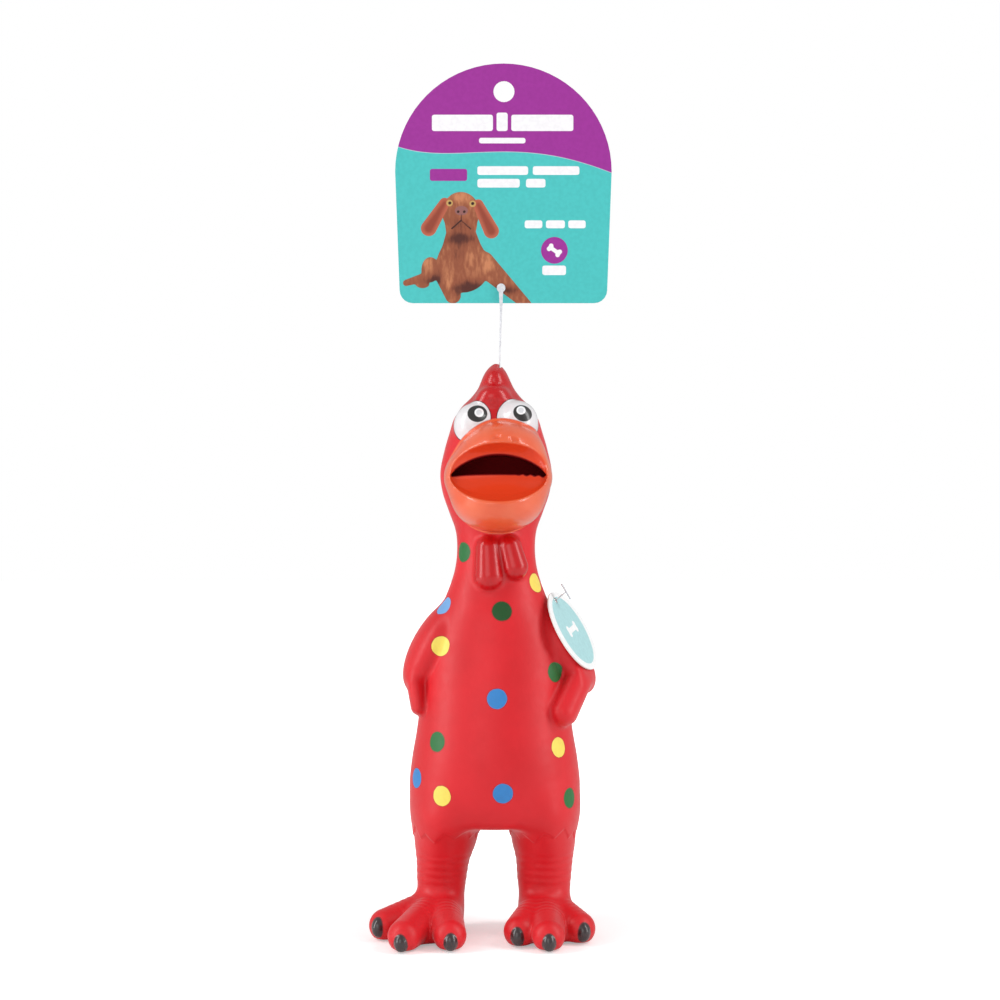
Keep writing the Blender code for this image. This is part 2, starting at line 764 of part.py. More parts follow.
neck_bend = hinge_empty("neck_bend", NECK_HINGE)
left_leg_bend = hinge_empty("left_leg_bend", (-20.2 * MM, LEG_CENTRE_Y, LEG_HINGE_HEIGHT))
right_leg_bend = hinge_empty("right_leg_bend", (18.6 * MM, LEG_CENTRE_Y, LEG_HINGE_HEIGHT))
belly_squeeze = hinge_empty("belly_squeeze", BELLY_CENTRE)
reed_flex = hinge_empty("reed_flex", (0, REED_ROOT_Y, REED_BASE))
card_pin_swing = hinge_empty("card_pin_swing", COMB_BORE)
card_swing = hinge_empty("card_swing", PIN_HEAD)
tag_swing = hinge_empty("tag_swing", tag_point(TAG_RADIUS, 0))

torso_skin()
belly_skin(belly_squeeze)
head_skin(neck_bend)
leg_skin("left_leg_skin", LEFT_LEG_SECTIONS, LEFT_CLAWS, LEFT_LEG_HOLLOW, left_leg_bend)
leg_skin("right_leg_skin", RIGHT_LEG_SECTIONS, RIGHT_CLAWS, RIGHT_LEG_HOLLOW, right_leg_bend)
sounder_tube(neck_bend)
sounder_lid(neck_bend)
reed_plate(neck_bend)
reed_tongue(reed_flex)
reed_clamp(neck_bend)
card_pin(card_pin_swing)
header_card(card_swing)
tag_pin()
swing_tag(tag_swing)
move_onto_origin()
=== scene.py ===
"""The looks of a squeaky rubber chicken, its header card and its swing tag.

The latex skin is sculpted as one distance field, meshed, and cut into the pieces that move. Card,
tag, pins and sounder are the CAD's own solids with new materials. Shapes are in mm about the
trunk's own axis, and meshes are in the frame's metres.
"""

import json
import math

import bmesh
import bpy
import numpy as np
import openvdb
from mathutils import Matrix, Vector


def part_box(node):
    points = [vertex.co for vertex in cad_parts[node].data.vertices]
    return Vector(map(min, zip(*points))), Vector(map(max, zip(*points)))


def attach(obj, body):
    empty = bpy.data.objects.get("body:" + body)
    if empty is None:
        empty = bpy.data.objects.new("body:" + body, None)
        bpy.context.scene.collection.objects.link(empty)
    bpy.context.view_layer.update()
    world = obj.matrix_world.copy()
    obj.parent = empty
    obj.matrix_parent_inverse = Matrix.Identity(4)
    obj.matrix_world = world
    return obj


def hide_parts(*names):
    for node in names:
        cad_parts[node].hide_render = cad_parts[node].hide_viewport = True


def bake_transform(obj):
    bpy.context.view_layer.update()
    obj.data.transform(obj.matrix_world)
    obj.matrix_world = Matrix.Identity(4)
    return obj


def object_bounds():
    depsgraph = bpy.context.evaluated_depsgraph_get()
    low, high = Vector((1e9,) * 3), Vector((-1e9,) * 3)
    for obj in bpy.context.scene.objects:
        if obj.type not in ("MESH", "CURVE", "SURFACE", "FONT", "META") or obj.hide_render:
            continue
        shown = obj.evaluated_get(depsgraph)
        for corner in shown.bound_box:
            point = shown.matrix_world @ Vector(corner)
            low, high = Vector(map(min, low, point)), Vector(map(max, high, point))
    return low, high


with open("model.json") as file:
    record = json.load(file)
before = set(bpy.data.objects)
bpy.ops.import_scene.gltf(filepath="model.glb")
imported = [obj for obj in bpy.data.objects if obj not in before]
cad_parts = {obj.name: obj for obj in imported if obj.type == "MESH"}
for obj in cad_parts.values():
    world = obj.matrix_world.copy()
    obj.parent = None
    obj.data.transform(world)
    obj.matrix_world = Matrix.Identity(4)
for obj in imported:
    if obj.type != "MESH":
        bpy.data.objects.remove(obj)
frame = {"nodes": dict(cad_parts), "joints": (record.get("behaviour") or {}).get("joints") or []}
CAD_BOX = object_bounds()

MM = 0.001
VOXEL = 0.5
COARSE = 4  # voxels along a coarse cell
PRINT_GAP = 0.5  # between the points that carry the artwork
FAR = 1e3  # a distance beyond every shape
FRONT = -6  # the front of the skin is where y is less than this


def joint(name):
    return next(j for j in frame["joints"] if j["name"] == name)


AXIS = np.array((*joint("neck_bend")["pos_m"][:2], 0)) / MM  # where the trunk's axis stands


def to_frame(points):
    return (np.asarray(points) + AXIS) * MM


def from_frame(corner):
    return np.array(corner) / MM - AXIS


# The skin from feet to crown: height, half width, depth in front of the axis, depth behind it.
TRUNK = (
    (30.0, 22.0, 14.0, 14.0),
    (42.0, 29.6, 21.5, 21.0),
    (48.0, 31.6, 24.5, 24.0),
    (55.7, 32.3, 26.5, 26.0),
    (66.0, 31.4, 27.0, 26.5),
    (76.0, 29.7, 26.0, 25.8),
    (88.0, 28.2, 24.4, 25.0),
    (100.0, 27.2, 22.5, 24.0),
    (112.0, 25.2, 20.0, 22.0),
    (121.0, 22.0, 18.0, 19.5),
    (128.7, 18.6, 15.5, 16.0),
    (137.4, 15.7, 14.2, 14.8),
    (144.6, 14.8, 13.5, 14.0),
    (152.6, 15.4, 14.0, 14.5),
    (159.4, 17.8, 15.0, 15.5),
    (166.5, 20.2, 16.0, 17.0),
    (173.0, 21.2, 17.0, 18.0),
    (182.8, 19.6, 17.6, 18.8),
    (189.4, 17.7, 17.0, 18.5),
    (195.9, 15.4, 14.5, 17.0),
    (199.8, 12.6, 11.5, 15.0),
    (202.6, 9.7, 9.5, 13.0),
    (205.6, 7.3, 8.0, 11.2),
    (208.5, 5.7, 6.6, 9.8),
    (211.0, 4.4, 5.4, 8.0),
    (213.4, 3.0, 3.8, 5.5),
    (214.9, 1.8, 2.2, 3.4),
    (215.8, 0.6, 0.8, 1.2),
)
TRUNK_TOP = 215.6
CROTCH = 41.8

# Legs: height, centre x, half width, half depth.
LEFT_LEG = (
    (0.0, -21.2, 9.0, 10.0),
    (7.0, -21.3, 8.8, 10.2),
    (14.7, -20.9, 8.9, 9.8),
    (20.0, -20.7, 9.4, 10.4),
    (26.8, -20.2, 10.1, 12.5),
    (33.6, -19.3, 11.7, 16.0),
    (40.0, -18.7, 12.7, 20.0),
    (46.0, -17.6, 13.4, 23.0),
    (56.0, -16.0, 12.0, 22.0),
)
RIGHT_LEG = (
    (0.0, 18.4, 9.9, 10.0),
    (7.0, 18.4, 9.8, 10.2),
    (14.2, 18.4, 9.7, 9.8),
    (21.0, 18.3, 10.3, 10.5),
    (27.8, 18.4, 10.9, 12.7),
    (33.6, 18.1, 12.0, 16.0),
    (40.0, 17.8, 12.7, 20.0),
    (46.0, 17.2, 13.4, 23.0),
    (56.0, 16.0, 12.0, 22.0),
)
LEG_Y = 2.0
LEG_TOP = 56
HAMSTRING = 0.88  # how much of a leg's depth it has at the back
RING_PITCH = 2.9
WRINKLE_PITCH = 2.6
TOE_TIP = 5.4  # from a claw back to the middle of its toe's tip
LEFT_CLAWS = ((-46.0, -13.5), (-35.5, -33.0), (-16.0, -31.8))
RIGHT_CLAWS = ((6.8, -25.2), (19.4, -32.5), (34.0, -20.0))

# The swing tag's plane, which the right wing stays behind.
TAG_CENTRE = np.array((29.0, -2.0, 114.6))
TAG_NORMAL = np.array((0.815, -0.330, 0.476))
TAG_DISC = (12.8, 14.2)  # radii of its coloured middle, across and up

MOUTH_X = 1.0
MOUTH_HALF_WIDTH = 17.8
MOUTH_Z = 172.6  # height of its corners
MOUTH_BACK = -13  # how far back the opening is cut

# Dots on the front: x, height, paint. The paints are numbers that the material reads; PALE is a
# light blue, and the last is the green made lighter, a painted sheen on most of the green dots.
GREEN, YELLOW, BLUE, PALE, SHEEN_GREEN = 0, 1, 2, 3, 4
DOT_RADIUS = 3.7
FRONT_DOTS = (
    (-12.2, 144.4, SHEEN_GREEN),
    (15.0, 132.8, YELLOW),
    (-19.5, 124.0, PALE),
    (2.2, 122.8, GREEN),
    (-20.4, 109.5, YELLOW),
    (22.0, 99.8, SHEEN_GREEN),
    (0.4, 91.0, BLUE),
    (-21.8, 74.5, SHEEN_GREEN),
    (23.3, 72.2, YELLOW),
    (-29.8, 60.0, BLUE),
    (2.6, 56.6, BLUE),
    (-20.0, 55.0, YELLOW),
    (27.4, 53.0, SHEEN_GREEN),
)
BACK_DOTS = (
    (11.0, 150.0, BLUE),
    (-9.0, 139.0, YELLOW),
    (4.0, 127.0, GREEN),
    (-15.0, 117.0, BLUE),
    (14.0, 111.0, YELLOW),
    (-3.0, 101.0, SHEEN_GREEN),
    (-19.0, 89.0, YELLOW),
    (17.0, 89.0, BLUE),
    (-23.0, 64.0, SHEEN_GREEN),
    (22.0, 66.0, SHEEN_GREEN),
    (-12.0, 52.0, BLUE),
    (12.0, 49.0, YELLOW),
)

# The card's artwork, as x and height. Bars stand where the card has lettering: left, right, low,
# high.
WAVE = (
    (-37.2, 298.4),
    (-22.7, 295.9),
    (-9.5, 296.2),
    (3.8, 296.5),
    (18.9, 295.3),
    (32.1, 292.6),
    (44.4, 288.3),
)
WHITE_BARS = (
    (-24.4, -1.2, 304.4, 310.6),
    (0.2, 4.4, 304.4, 311.4),
    (5.8, 29.4, 304.4, 310.6),
    (-6.5, 11.2, 299.7, 301.8),
    (-7.1, 12.2, 287.7, 291.0),
    (14.0, 31.7, 287.7, 291.0),
    (-7.1, 9.0, 282.9, 286.2),
    (11.4, 18.8, 282.9, 286.2),
    (10.9, 17.6, 267.4, 270.4),
    (19.0, 26.2, 267.4, 270.4),
    (27.5, 34.1, 267.4, 270.4),
    (17.6, 26.6, 249.6, 253.2),
)
PURPLE_BAR = (-25.2, -11.0, 285.4, 290.0)
BADGE = (22.2, 0, 259.0)
BADGE_RADIUS = 5.1
IRISES = ((-17.7, 277.0), (-8.9, 276.7))  # the dog's eyes

# Darker and lighter places in the dog's coat: x, height, their reaches, and how much darker.
FUR_SHADES = (
    (-13.4, 263.6, 5.0, 2.0, 0.9),
    (-14.0, 258.0, 2.6, 4.0, 0.4),
    (-10.5, 244.6, 6.0, 2.8, 1.0),
    (-13.3, 268.6, 3.8, 2.6, 0.4),
    (-22.6, 248.0, 1.6, 4.0, 0.6),
    (-24.6, 247.4, 3.0, 1.6, 0.7),
    (2.0, 244.0, 7.0, 1.6, 0.7),
    (-13.4, 279.4, 4.0, 2.0, -0.5),
    (-18.0, 246.5, 1.4, 3.4, -0.4),
    (-3.4, 254.0, 2.6, 3.0, -0.4),
    (-26.0, 254.0, 2.0, 2.4, -0.4),
    (-10.0, 257.0, 2.0, 4.0, -0.2),
)


def linear(red, green, blue):
    """A linear colour from 8-bit sRGB."""
    shares = [c / 255 for c in (red, green, blue)]
    return tuple(c / 12.92 if c <= 0.04045 else ((c + 0.055) / 1.055) ** 2.4 for c in shares)


# Distance fields. Each takes points (n, 3) and gives signed distances, negative inside.


def smooth_min(a, b, k):
    """The union of two shapes, with a fillet about k wide."""
    h = np.maximum(k - np.abs(a - b), 0) / k
    return np.minimum(a, b) - h * h * k / 4


def smooth_max(a, b, k):
    return -smooth_min(-a, -b, k)


def step(low, high, value):
    """0 below low, 1 above high, and smooth between."""
    t = np.clip((value - low) / (high - low), 0, 1)
    return t * t * (3 - 2 * t)


def ellipsoid(p, centre, radii, turn=None):
    """turn is a matrix that turns the ellipsoid about its centre."""
    local = p - np.array(centre)
    if turn is not None:
        local = local @ np.array(turn)
    scaled = local / np.array(radii)
    k0 = np.sqrt((scaled**2).sum(1)) + 1e-9
    k1 = np.sqrt(((scaled / np.array(radii)) ** 2).sum(1)) + 1e-9
    return k0 * (k0 - 1) / k1


def round_cone(p, start, end, radius, end_radius):
    """A ball swept from start to end, growing or shrinking on its way."""
    a, run = np.array(start), np.array(end) - np.array(start)
    along = np.clip((p - a) @ run / (run @ run), 0, 1)
    nearest = a + along[:, None] * run
    return np.sqrt(((p - nearest) ** 2).sum(1)) - radius - (end_radius - radius) * along


def lean(degrees):
    """A turn about Y, with the top going towards +X."""
    return Matrix.Rotation(math.radians(degrees), 3, "Y")


def smooth_table(rows, count=240):
    """The rows of a section table, joined by cubic curves at even heights."""
    table = np.array(rows)
    heights = table[:, 0]
    slopes = np.gradient(table, heights, axis=0)
    fine = np.linspace(heights[0], heights[-1], count)
    i = np.clip(np.searchsorted(heights, fine, side="right") - 1, 0, len(heights) - 2)
    run = (heights[i + 1] - heights[i])[:, None]
    t = (fine[:, None] - heights[i][:, None]) / run
    a, b = table[i], table[i + 1]
    made = (
        (2 * t**3 - 3 * t**2 + 1) * a
        + (t**3 - 2 * t**2 + t) * run * slopes[i]
        + (3 * t**2 - 2 * t**3) * b
        + (t**3 - t**2) * run * slopes[i + 1]
    )
    made[:, 0] = fine
    return made


def oval(x, y, half_width, depth):
    """Distance to an ellipse at each height."""
    q = np.sqrt((x / half_width) ** 2 + (y / depth) ** 2) + 1e-6
    g = np.sqrt((x / half_width**2) ** 2 + (y / depth**2) ** 2) + 1e-6
    return (q - 1) * q / g


TRUNK_TABLE = smooth_table(TRUNK)
LEG_TABLES = {-1: smooth_table(LEFT_LEG), 1: smooth_table(RIGHT_LEG)}


def trunk(p):
    x, y, z = p.T
    heights = TRUNK_TABLE[:, 0]
    half_width, front, back = (np.interp(z, heights, TRUNK_TABLE[:, i]) for i in (1, 2, 3))
    sway = 0.5 * step(110, 80, z)
    shape = oval(x + sway, y, half_width, np.where(y < 0, front, back))
    return np.maximum(shape, z - TRUNK_TOP)


def torso(p):
    body = smooth_max(trunk(p), CROTCH - p[:, 2], 3.5)
    tail = ellipsoid(p, (0, 23, 72), (8, 8.5, 11), Matrix.Rotation(math.radians(-35), 3, "X"))
    return smooth_min(body, tail, 8)


def left_wing(p):
    upper = ellipsoid(p, (-23.2, 1, 109.0), (8.4, 14, 19.6), lean(30.3))
    lower = round_cone(p * (1, 0.5, 1), (-30.4, -2.0, 96.0), (-28.8, -2.6, 86.2), 3.6, 3.4)
    return smooth_min(upper, lower, 2.2)


def right_wing(p):
    upper = ellipsoid(p, (25.2, 1, 107.8), (8.6, 14, 19.8), lean(-32))
    lower = round_cone(p * (1, 0.7, 1), (31.6, -4.6, 98.0), (25.0, -8.6, 85.2), 5.4, 5.8)
    shape = smooth_min(upper, lower, 2.2)
    return smooth_max(shape, (p - TAG_CENTRE) @ TAG_NORMAL + 0.7, 2)


def leg(p, side):
    """One leg from hip to ankle, with its cuff of feathers and the rings below it."""
    x, y, z = p.T
    table = LEG_TABLES[side]
    centre, half_width, depth = (np.interp(z, table[:, 0], table[:, i]) for i in (1, 2, 3))
    angle = np.arctan2(x - centre, LEG_Y - y)
    girth = angle * 11
    zigzag = 39 + 3.4 * (np.abs((girth / 4.6) % 1 - 0.5) - 0.25) * 2 + 1.2 * np.sin(girth * 0.45)
    cuff = 0.45 * step(-0.5, 0.5, z - zigzag) * step(LEG_TOP, 41, z)
    ringed = step(17, 20, z) * step(33, 30, z)
    rings = 0.06 * np.cos(z * 2 * math.pi / RING_PITCH + 0.5 * np.sin(angle * 2)) * ringed
    depth = np.where(y < LEG_Y, depth, depth * HAMSTRING)
    shape = oval(x - centre, y - LEG_Y, half_width, depth) - cuff - rings
    return smooth_max(shape, z - LEG_TOP, 4)


def ankle_of(side):
    return np.array((LEG_TABLES[side][0, 1], LEG_Y, 0))


def toe_heading(ankle, claw):
    run = np.array(claw) - ankle[:2]
    return run / np.linalg.norm(run)


def toe(p, ankle, claw):
    heading = toe_heading(ankle, claw)
    start = np.array((*(ankle[:2] + heading * 3), 9.0))
    end = np.array((*(np.array(claw) - heading * TOE_TIP), 4.9))
    shape = round_cone(p, start, end, 7.4, 6.1)
    along = (p[:, :2] - ankle[:2]) @ heading
    wrinkled = step(9, 13, along) * step(24, 20, along) * step(4, 8, p[:, 2])
    return shape - 0.06 * np.cos(along * 2 * math.pi / WRINKLE_PITCH) * wrinkled


def claw_shape(p, ankle, claw):
    """A claw on the front of a toe's tip, turned half as far to the side as the toe."""
    heading = toe_heading(ankle, claw)
    yaw = math.atan2(heading[0], -heading[1]) * 0.5
    turn = Matrix.Rotation(yaw, 3, "Z") @ Matrix.Rotation(math.radians(-16), 3, "X")
    front = np.array((math.sin(yaw), -math.cos(yaw)))
    centre = (*(np.array(claw) - heading * TOE_TIP + front * 4.1), 6.0 + 0.07 * claw[1])
    return ellipsoid(p, centre, (2.7, 3.2, 3.9), turn)


def foot(p, side, claws):
    """Three toes and the web between them."""
    ankle = ankle_of(side)
    middle = np.array(claws[1])
    web_centre = (*(ankle[:2] * 0.62 + middle * 0.38), 2.5)
    shape = ellipsoid(p, web_centre, (11, 11.5, 4.5))
    for claw in claws:
        shape = smooth_min(shape, toe(p, ankle, claw), 2.0)
    return shape


def all_claws(p):
    nearest = np.full(len(p), FAR)
    for side, claws in ((-1, LEFT_CLAWS), (1, RIGHT_CLAWS)):
        for claw in claws:
            nearest = np.minimum(nearest, claw_shape(p, ankle_of(side), claw))
    return nearest


def bill_solid(p):
    """The bill before its mouth is hollowed out."""
    shape = ellipsoid(p, (0.8, -14, 172.5), (20.2, 20.5, 15))
    shape = smooth_min(shape, ellipsoid(p, (2.6, -13, 181.5), (15.5, 19.5, 12.2)), 4)
    return smooth_min(shape, ellipsoid(p, (0.8, -17, 163.5), (16.8, 19, 11.5)), 4)


def mouth_lines(x):
    """Heights of the upper lip's ridge, the opening's top and base and the lower lip's rim.

    The last value is how deep the lips are hollowed there, from 0 to 1.
    """
    share = np.clip(1 - ((x - MOUTH_X) / MOUTH_HALF_WIDTH) ** 2, 0, 1)
    arch = np.clip(1 - ((x - 2.2) / 19.2) ** 2, 0, 1)
    ridge = 173 + 12.1 * arch**0.45
    top = 172.8 + 7.5 * share**0.8
    base = MOUTH_Z + 1.1 * share**0.5
    rim = MOUTH_Z - 10.2 * share**0.5
    return ridge, top, base, rim, np.sqrt(share)


def mouth_slot(p):
    """The space between the lips, cut straight back."""
    x, y, z = p.T
    _, top, base, _, _ = mouth_lines(x)
    ragged = 0.25 * np.sin(x * 2.1) * step(6, 10, x)
    shape = np.maximum(base - z + ragged, (z - top) * 0.85)
    shape = np.maximum(shape, np.abs(x - MOUTH_X) - 17.6)
    return np.maximum(shape, y - MOUTH_BACK)


def bill(p):
    x, y, z = p.T
    ridge, top, base, rim, depth = mouth_lines(x)
    above = np.clip((ridge - z) / np.maximum(ridge - top, 0.5), 0, 1)
    below = np.clip((z - rim) / np.maximum(base - rim, 0.5), 0, 1)
    upper_sink = 6.5 * (1 - (1 - above) ** 1.8)
    lower_sink = 10 * (1 - (1 - below) ** 2.2) * step(-0.05, 0.3, below)
    bead = 0.6 * np.exp(-(((z - rim - 0.4) / 1.3) ** 2))
    sunk = p.copy()
    sunk[:, 1] -= depth * (np.where(z > (top + base) / 2, upper_sink, lower_sink) - bead)
    return smooth_max(bill_solid(sunk), -mouth_slot(p), 0.5)


def nostrils(p):
    dimple = np.full(len(p), FAR)
    for x, z in ((0.2, 187.2), (6.5, 186.2)):
        y = -13 - 19.5 * math.sqrt(1 - ((x - 2.6) / 15.5) ** 2 - ((z - 181.5) / 12.2) ** 2)
        dimple = np.minimum(dimple, ellipsoid(p, (x, y, z), (1.3, 0.8, 0.8)))
    return dimple


def eyes(p):
    left = ellipsoid(p, (-8.4, -9, 192), (7.4, 8.6, 8.2))
    right = ellipsoid(p, (8.2, -9.4, 193), (7.6, 8.6, 8.2))
    return smooth_min(left, right, 1.5)


def comb(p):
    """Three lobes, one behind another, on the cone that the crown rises to."""
    front = ellipsoid(p, (-1.0, -9.0, 202.6), (6.0, 5.4, 4.6), lean(-8))
    upper = ellipsoid(p, (-0.4, -4.0, 209.0), (3.6, 5.2, 4.4), lean(4))
    rear = ellipsoid(p, (0.2, 6.5, 206.5), (3.4, 5.5, 5.2))
    return smooth_min(smooth_min(front, upper, 1.6), rear, 1.5)


def comb_notch(p):
    """The slit at the tip that the nylon pin comes out of."""
    return round_cone(p, (1.5, -8, 214.6), (1.5, 8, 214.6), 0.5, 0.5)


def comb_share(p):
    """How far outside the glossy comb and the strip between the eyes.

    It grows slowly down the crown, so that the gloss fades out.
    """
    strip = ellipsoid(p, (-0.6, -17, 195), (2.6, 12, 11))
    return np.minimum((199 - p[:, 2]) * 0.3, strip)


def wattles(p):
    left = round_cone(p, (-2.9, -13.2, 146), (-2.4, -14.2, 135.8), 4.4, 5.4)
    right = round_cone(p, (5.2, -13.4, 146.4), (7.1, -14.0, 139.2), 4.3, 4.9)
    return smooth_min(left, right, 1.8)


def chicken(p):
    """The whole skin."""
    body = smooth_min(torso(p), left_wing(p), 2.0)
    body = smooth_min(body, right_wing(p), 2.0)
    for side, claws in ((-1, LEFT_CLAWS), (1, RIGHT_CLAWS)):
        lower = smooth_min(leg(p, side), foot(p, side, claws), 3.5)
        body = smooth_min(body, lower, 5)
    body = smooth_min(body, all_claws(p), 0.3)
    body = smooth_max(body, -p[:, 2], 1.0)
    head = smooth_min(body, eyes(p), 2.2)
    head = smooth_min(head, comb(p), 4.0)
    head = smooth_max(head, -comb_notch(p), 0.5)
    head = smooth_min(head, bill(p), 1.4)
    head = smooth_max(head, -mouth_slot(p), 0.5)
    head = smooth_max(head, -nostrils(p), 1.2)
    return smooth_min(head, wattles(p), 2.6)


# The mesh of the skin.


def field_values(low, counts):
    """Distances on a fine grid. Only the coarse cells near the surface are worked out in full."""
    cell = VOXEL * COARSE
    offsets = [low[i] + (np.arange(counts[i]) + 0.5) * cell for i in range(3)]
    centres = np.stack(np.meshgrid(*offsets, indexing="ij"), -1).reshape(-1, 3)
    coarse = chicken(centres)
    near = np.abs(coarse) < cell * 1.7
    fine = np.repeat(coarse[:, None], COARSE**3, axis=1)
    inner = (np.arange(COARSE) + 0.5) * VOXEL - cell / 2
    shifts = np.stack(np.meshgrid(inner, inner, inner, indexing="ij"), -1).reshape(-1, 3)
    points = (centres[near][:, None] + shifts[None]).reshape(-1, 3)
    fine[near] = chicken(points).reshape(-1, COARSE**3)
    fine = fine.reshape(*counts, COARSE, COARSE, COARSE).transpose(0, 3, 1, 4, 2, 5)
    return fine.reshape([n * COARSE for n in counts]).astype(np.float32)


def gradient(p, reach=0.04):
    parts = []
    for axis in range(3):
        shift = np.zeros(3)
        shift[axis] = reach
        parts.append((chicken(p + shift) - chicken(p - shift)) / (2 * reach))
    return np.stack(parts, 1)


def onto_surface(p, rounds):
    for _ in range(rounds):
        slope = gradient(p)
        size = np.maximum((slope**2).sum(1), 0.3)
        move = chicken(p) / size
        p = p - slope * np.clip(move, -VOXEL / 2, VOXEL / 2)[:, None]
    return p


def relaxed(p, faces):
    """Each point moved half way to the middle of its neighbours."""
    ends = np.concatenate([faces[:, [i, (i + 1) % 4]] for i in range(4)])
    count = np.bincount(ends[:, 0], minlength=len(p))[:, None]
    total = [np.bincount(ends[:, 0], weights=p[ends[:, 1], i], minlength=len(p)) for i in range(3)]
    return (p + np.stack(total, 1) / np.maximum(count, 1)) / 2


def skin_surface():
    """Points and four-cornered faces of the whole skin."""
    low = np.array([*from_frame(CAD_BOX[0])[:2] - 8, -4])
    high = np.array([*from_frame(CAD_BOX[1])[:2] + 8, TRUNK_TOP + 4])
    counts = np.ceil((high - low) / (VOXEL * COARSE)).astype(int)
    grid = openvdb.FloatGrid(3.0)
    grid.copyFromArray(field_values(low, counts))
    points, _, quads = grid.convertToPolygons(0.0, 0.0)
    points = low + (points + 0.5) * VOXEL
    quads = quads[:, ::-1] if volume(points, quads) < 0 else quads
    points = onto_surface(points.astype(float), 2)
    for _ in range(2):
        points = onto_surface(relaxed(points, quads), 2)
    return points, quads


def volume(points, quads):
    a, b, c, d = (points[quads[:, i]] for i in range(4))
    return (a * np.cross(b, c)).sum() + (a * np.cross(c, d)).sum()


def face_normals(points, quads):
    a, b, c, d = (points[quads[:, i]] for i in range(4))
    return np.cross(c - a, d - b)


def point_normals(points, quads):
    flat = face_normals(points, quads)
    total = np.zeros_like(points)
    for corner in quads.T:
        for axis in range(3):
            total[:, axis] += np.bincount(corner, weights=flat[:, axis], minlength=len(points))
    return total / np.maximum(np.linalg.norm(total, axis=1), 1e-9)[:, None]


# Paint, as signed distances stored on the points.


def dot_centre(x, z, back):
    """The point of the skin that lies in front of or behind (x, z)."""
    depth = np.arange(0, 45, 0.1)
    y = depth if back else -depth
    ray = np.stack([np.full_like(y, x), y, np.full_like(y, z)], 1)
    inside = np.nonzero(chicken(ray) < 0)[0]
    return ray[inside[-1]] if len(inside) else ray[0]


def dots(p):
    nearest = np.full(len(p), FAR)
    paint = np.zeros(len(p))
    for group, back in ((FRONT_DOTS, False), (BACK_DOTS, True)):
        for x, z, colour in group:
            away = np.linalg.norm(p - dot_centre(x, z, back), axis=1) - DOT_RADIUS
            paint = np.where(away < nearest, colour, paint)
            nearest = np.minimum(nearest, away)
    return nearest, paint


def eye_paint(p):
    """Distances to the whites, the pupils and the spots in them."""
    white = np.minimum(
        ellipsoid(p, (-9, -13, 193.3), (6.9, 12, 8.0), lean(25)),
        ellipsoid(p, (8.4, -13, 193.8), (8.1, 13, 8.4), lean(-15)),
    )
    front = np.where(p[:, 1] < FRONT, 0, FAR)
    flat = p * (1, 0, 1)
    pupil = np.minimum(
        ellipsoid(flat, (-6.9, 0, 196.1), (3.7, 9, 3.2)),
        ellipsoid(flat, (9.9, 0, 196.2), (3.6, 9, 3.0), lean(25)),
    )
    spot = np.minimum(
        ellipsoid(flat, (-6.25, 0, 196.5), (1.7, 9, 1.7)),
        ellipsoid(flat, (9.3, 0, 197.3), (1.7, 9, 1.6)),
    )
    return white, pupil + front, spot + front


def lip_space(p):
    """Distance, in height, to the hollow between the upper lip's ridge and the lower lip's rim."""
    ridge, _, _, rim, _ = mouth_lines(p[:, 0])
    return np.maximum(rim + 0.5 - p[:, 2], p[:, 2] - ridge + 0.4)


def paint_fields(p):
    """Every paint attribute of the skin, by name."""
    white, pupil, spot = eye_paint(p)
    dot, hue = dots(p)
    return {
        "dot": dot,
        "dot_hue": hue,
        "eye_white": white,
        "pupil": pupil,
        "spot": spot,
        "bill": bill_solid(p) - 0.9,
        # Where the inside of the mouth gets painted shade.
        "mouth": np.maximum(bill_solid(p) + 1.4, mouth_slot(p) - 0.6),
        # Where the hollow between the lips gets painted shade.
        "lip_shade": np.maximum(lip_space(p), bill_solid(p) + 0.4),
        "comb": np.minimum(comb_share(p), wattles(p) - 0.7),
        "claw": all_claws(p) - 0.15,
    }


# Cutting the skin into the pieces that move.


NECK_Z = joint("neck_bend")["pos_m"][2] / MM
NECK_BEND = (NECK_Z + 6, NECK_Z + 28)  # heights between which the neck bends
LEG_Z = joint("left_leg_bend")["pos_m"][2] / MM
LEG_BEND = (LEG_Z + 17, LEG_Z + 2)
BELLY_LOW, BELLY_HIGH = (from_frame(corner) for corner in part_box("belly_skin"))
BELLY_CENTRE = (BELLY_LOW + BELLY_HIGH) / 2
BELLY_SIZE = (BELLY_HIGH - BELLY_LOW) / 2 + (-1.5, 0, 4)  # the dent stays clear of the right wing


def belly_reach(p):
    """0 at the belly's middle and 1 at the dent's edge."""
    x = (p[:, 0] - BELLY_CENTRE[0]) / BELLY_SIZE[0]
    z = (p[:, 2] - BELLY_CENTRE[2]) / BELLY_SIZE[2]
    return np.sqrt(x * x + z * z)


TORSO, HEAD, BELLY, LEFT, RIGHT = range(5)
PIECES = {
    TORSO: ("skin_torso", "torso_skin"),
    HEAD: ("skin_head", "head_skin"),
    BELLY: ("skin_belly", "belly_skin"),
    LEFT: ("skin_left_leg", "left_leg_skin"),
    RIGHT: ("skin_right_leg", "right_leg_skin"),
}
BELLY_BACKS = {TORSO: 18, BELLY: 15}  # from the belly's rim back to what closes it, past the dent


def piece_of(middle):
    """Which piece each face belongs to, from its middle."""
    piece = np.full(len(middle), TORSO)
    piece[middle[:, 2] > NECK_BEND[0]] = HEAD
    low = middle[:, 2] < LEG_BEND[0]
    piece[low & (middle[:, 0] < 0)] = LEFT
    piece[low & (middle[:, 0] >= 0)] = RIGHT
    piece[(belly_reach(middle) < 1) & (middle[:, 1] < FRONT)] = BELLY
    return piece


def directed_edges(quads, count):
    """Starts and ends of every face's edges, the face of each, and the face on its other side."""
    starts, ends = quads.ravel(), np.roll(quads, -1, axis=1).ravel()
    own = np.repeat(np.arange(len(quads)), 4)
    keys = starts.astype(np.int64) * count + ends
    order = np.argsort(keys)
    mirrored = ends.astype(np.int64) * count + starts
    found = np.searchsorted(keys[order], mirrored).clip(0, len(keys) - 1)
    return starts, ends, own, own[order[found]]


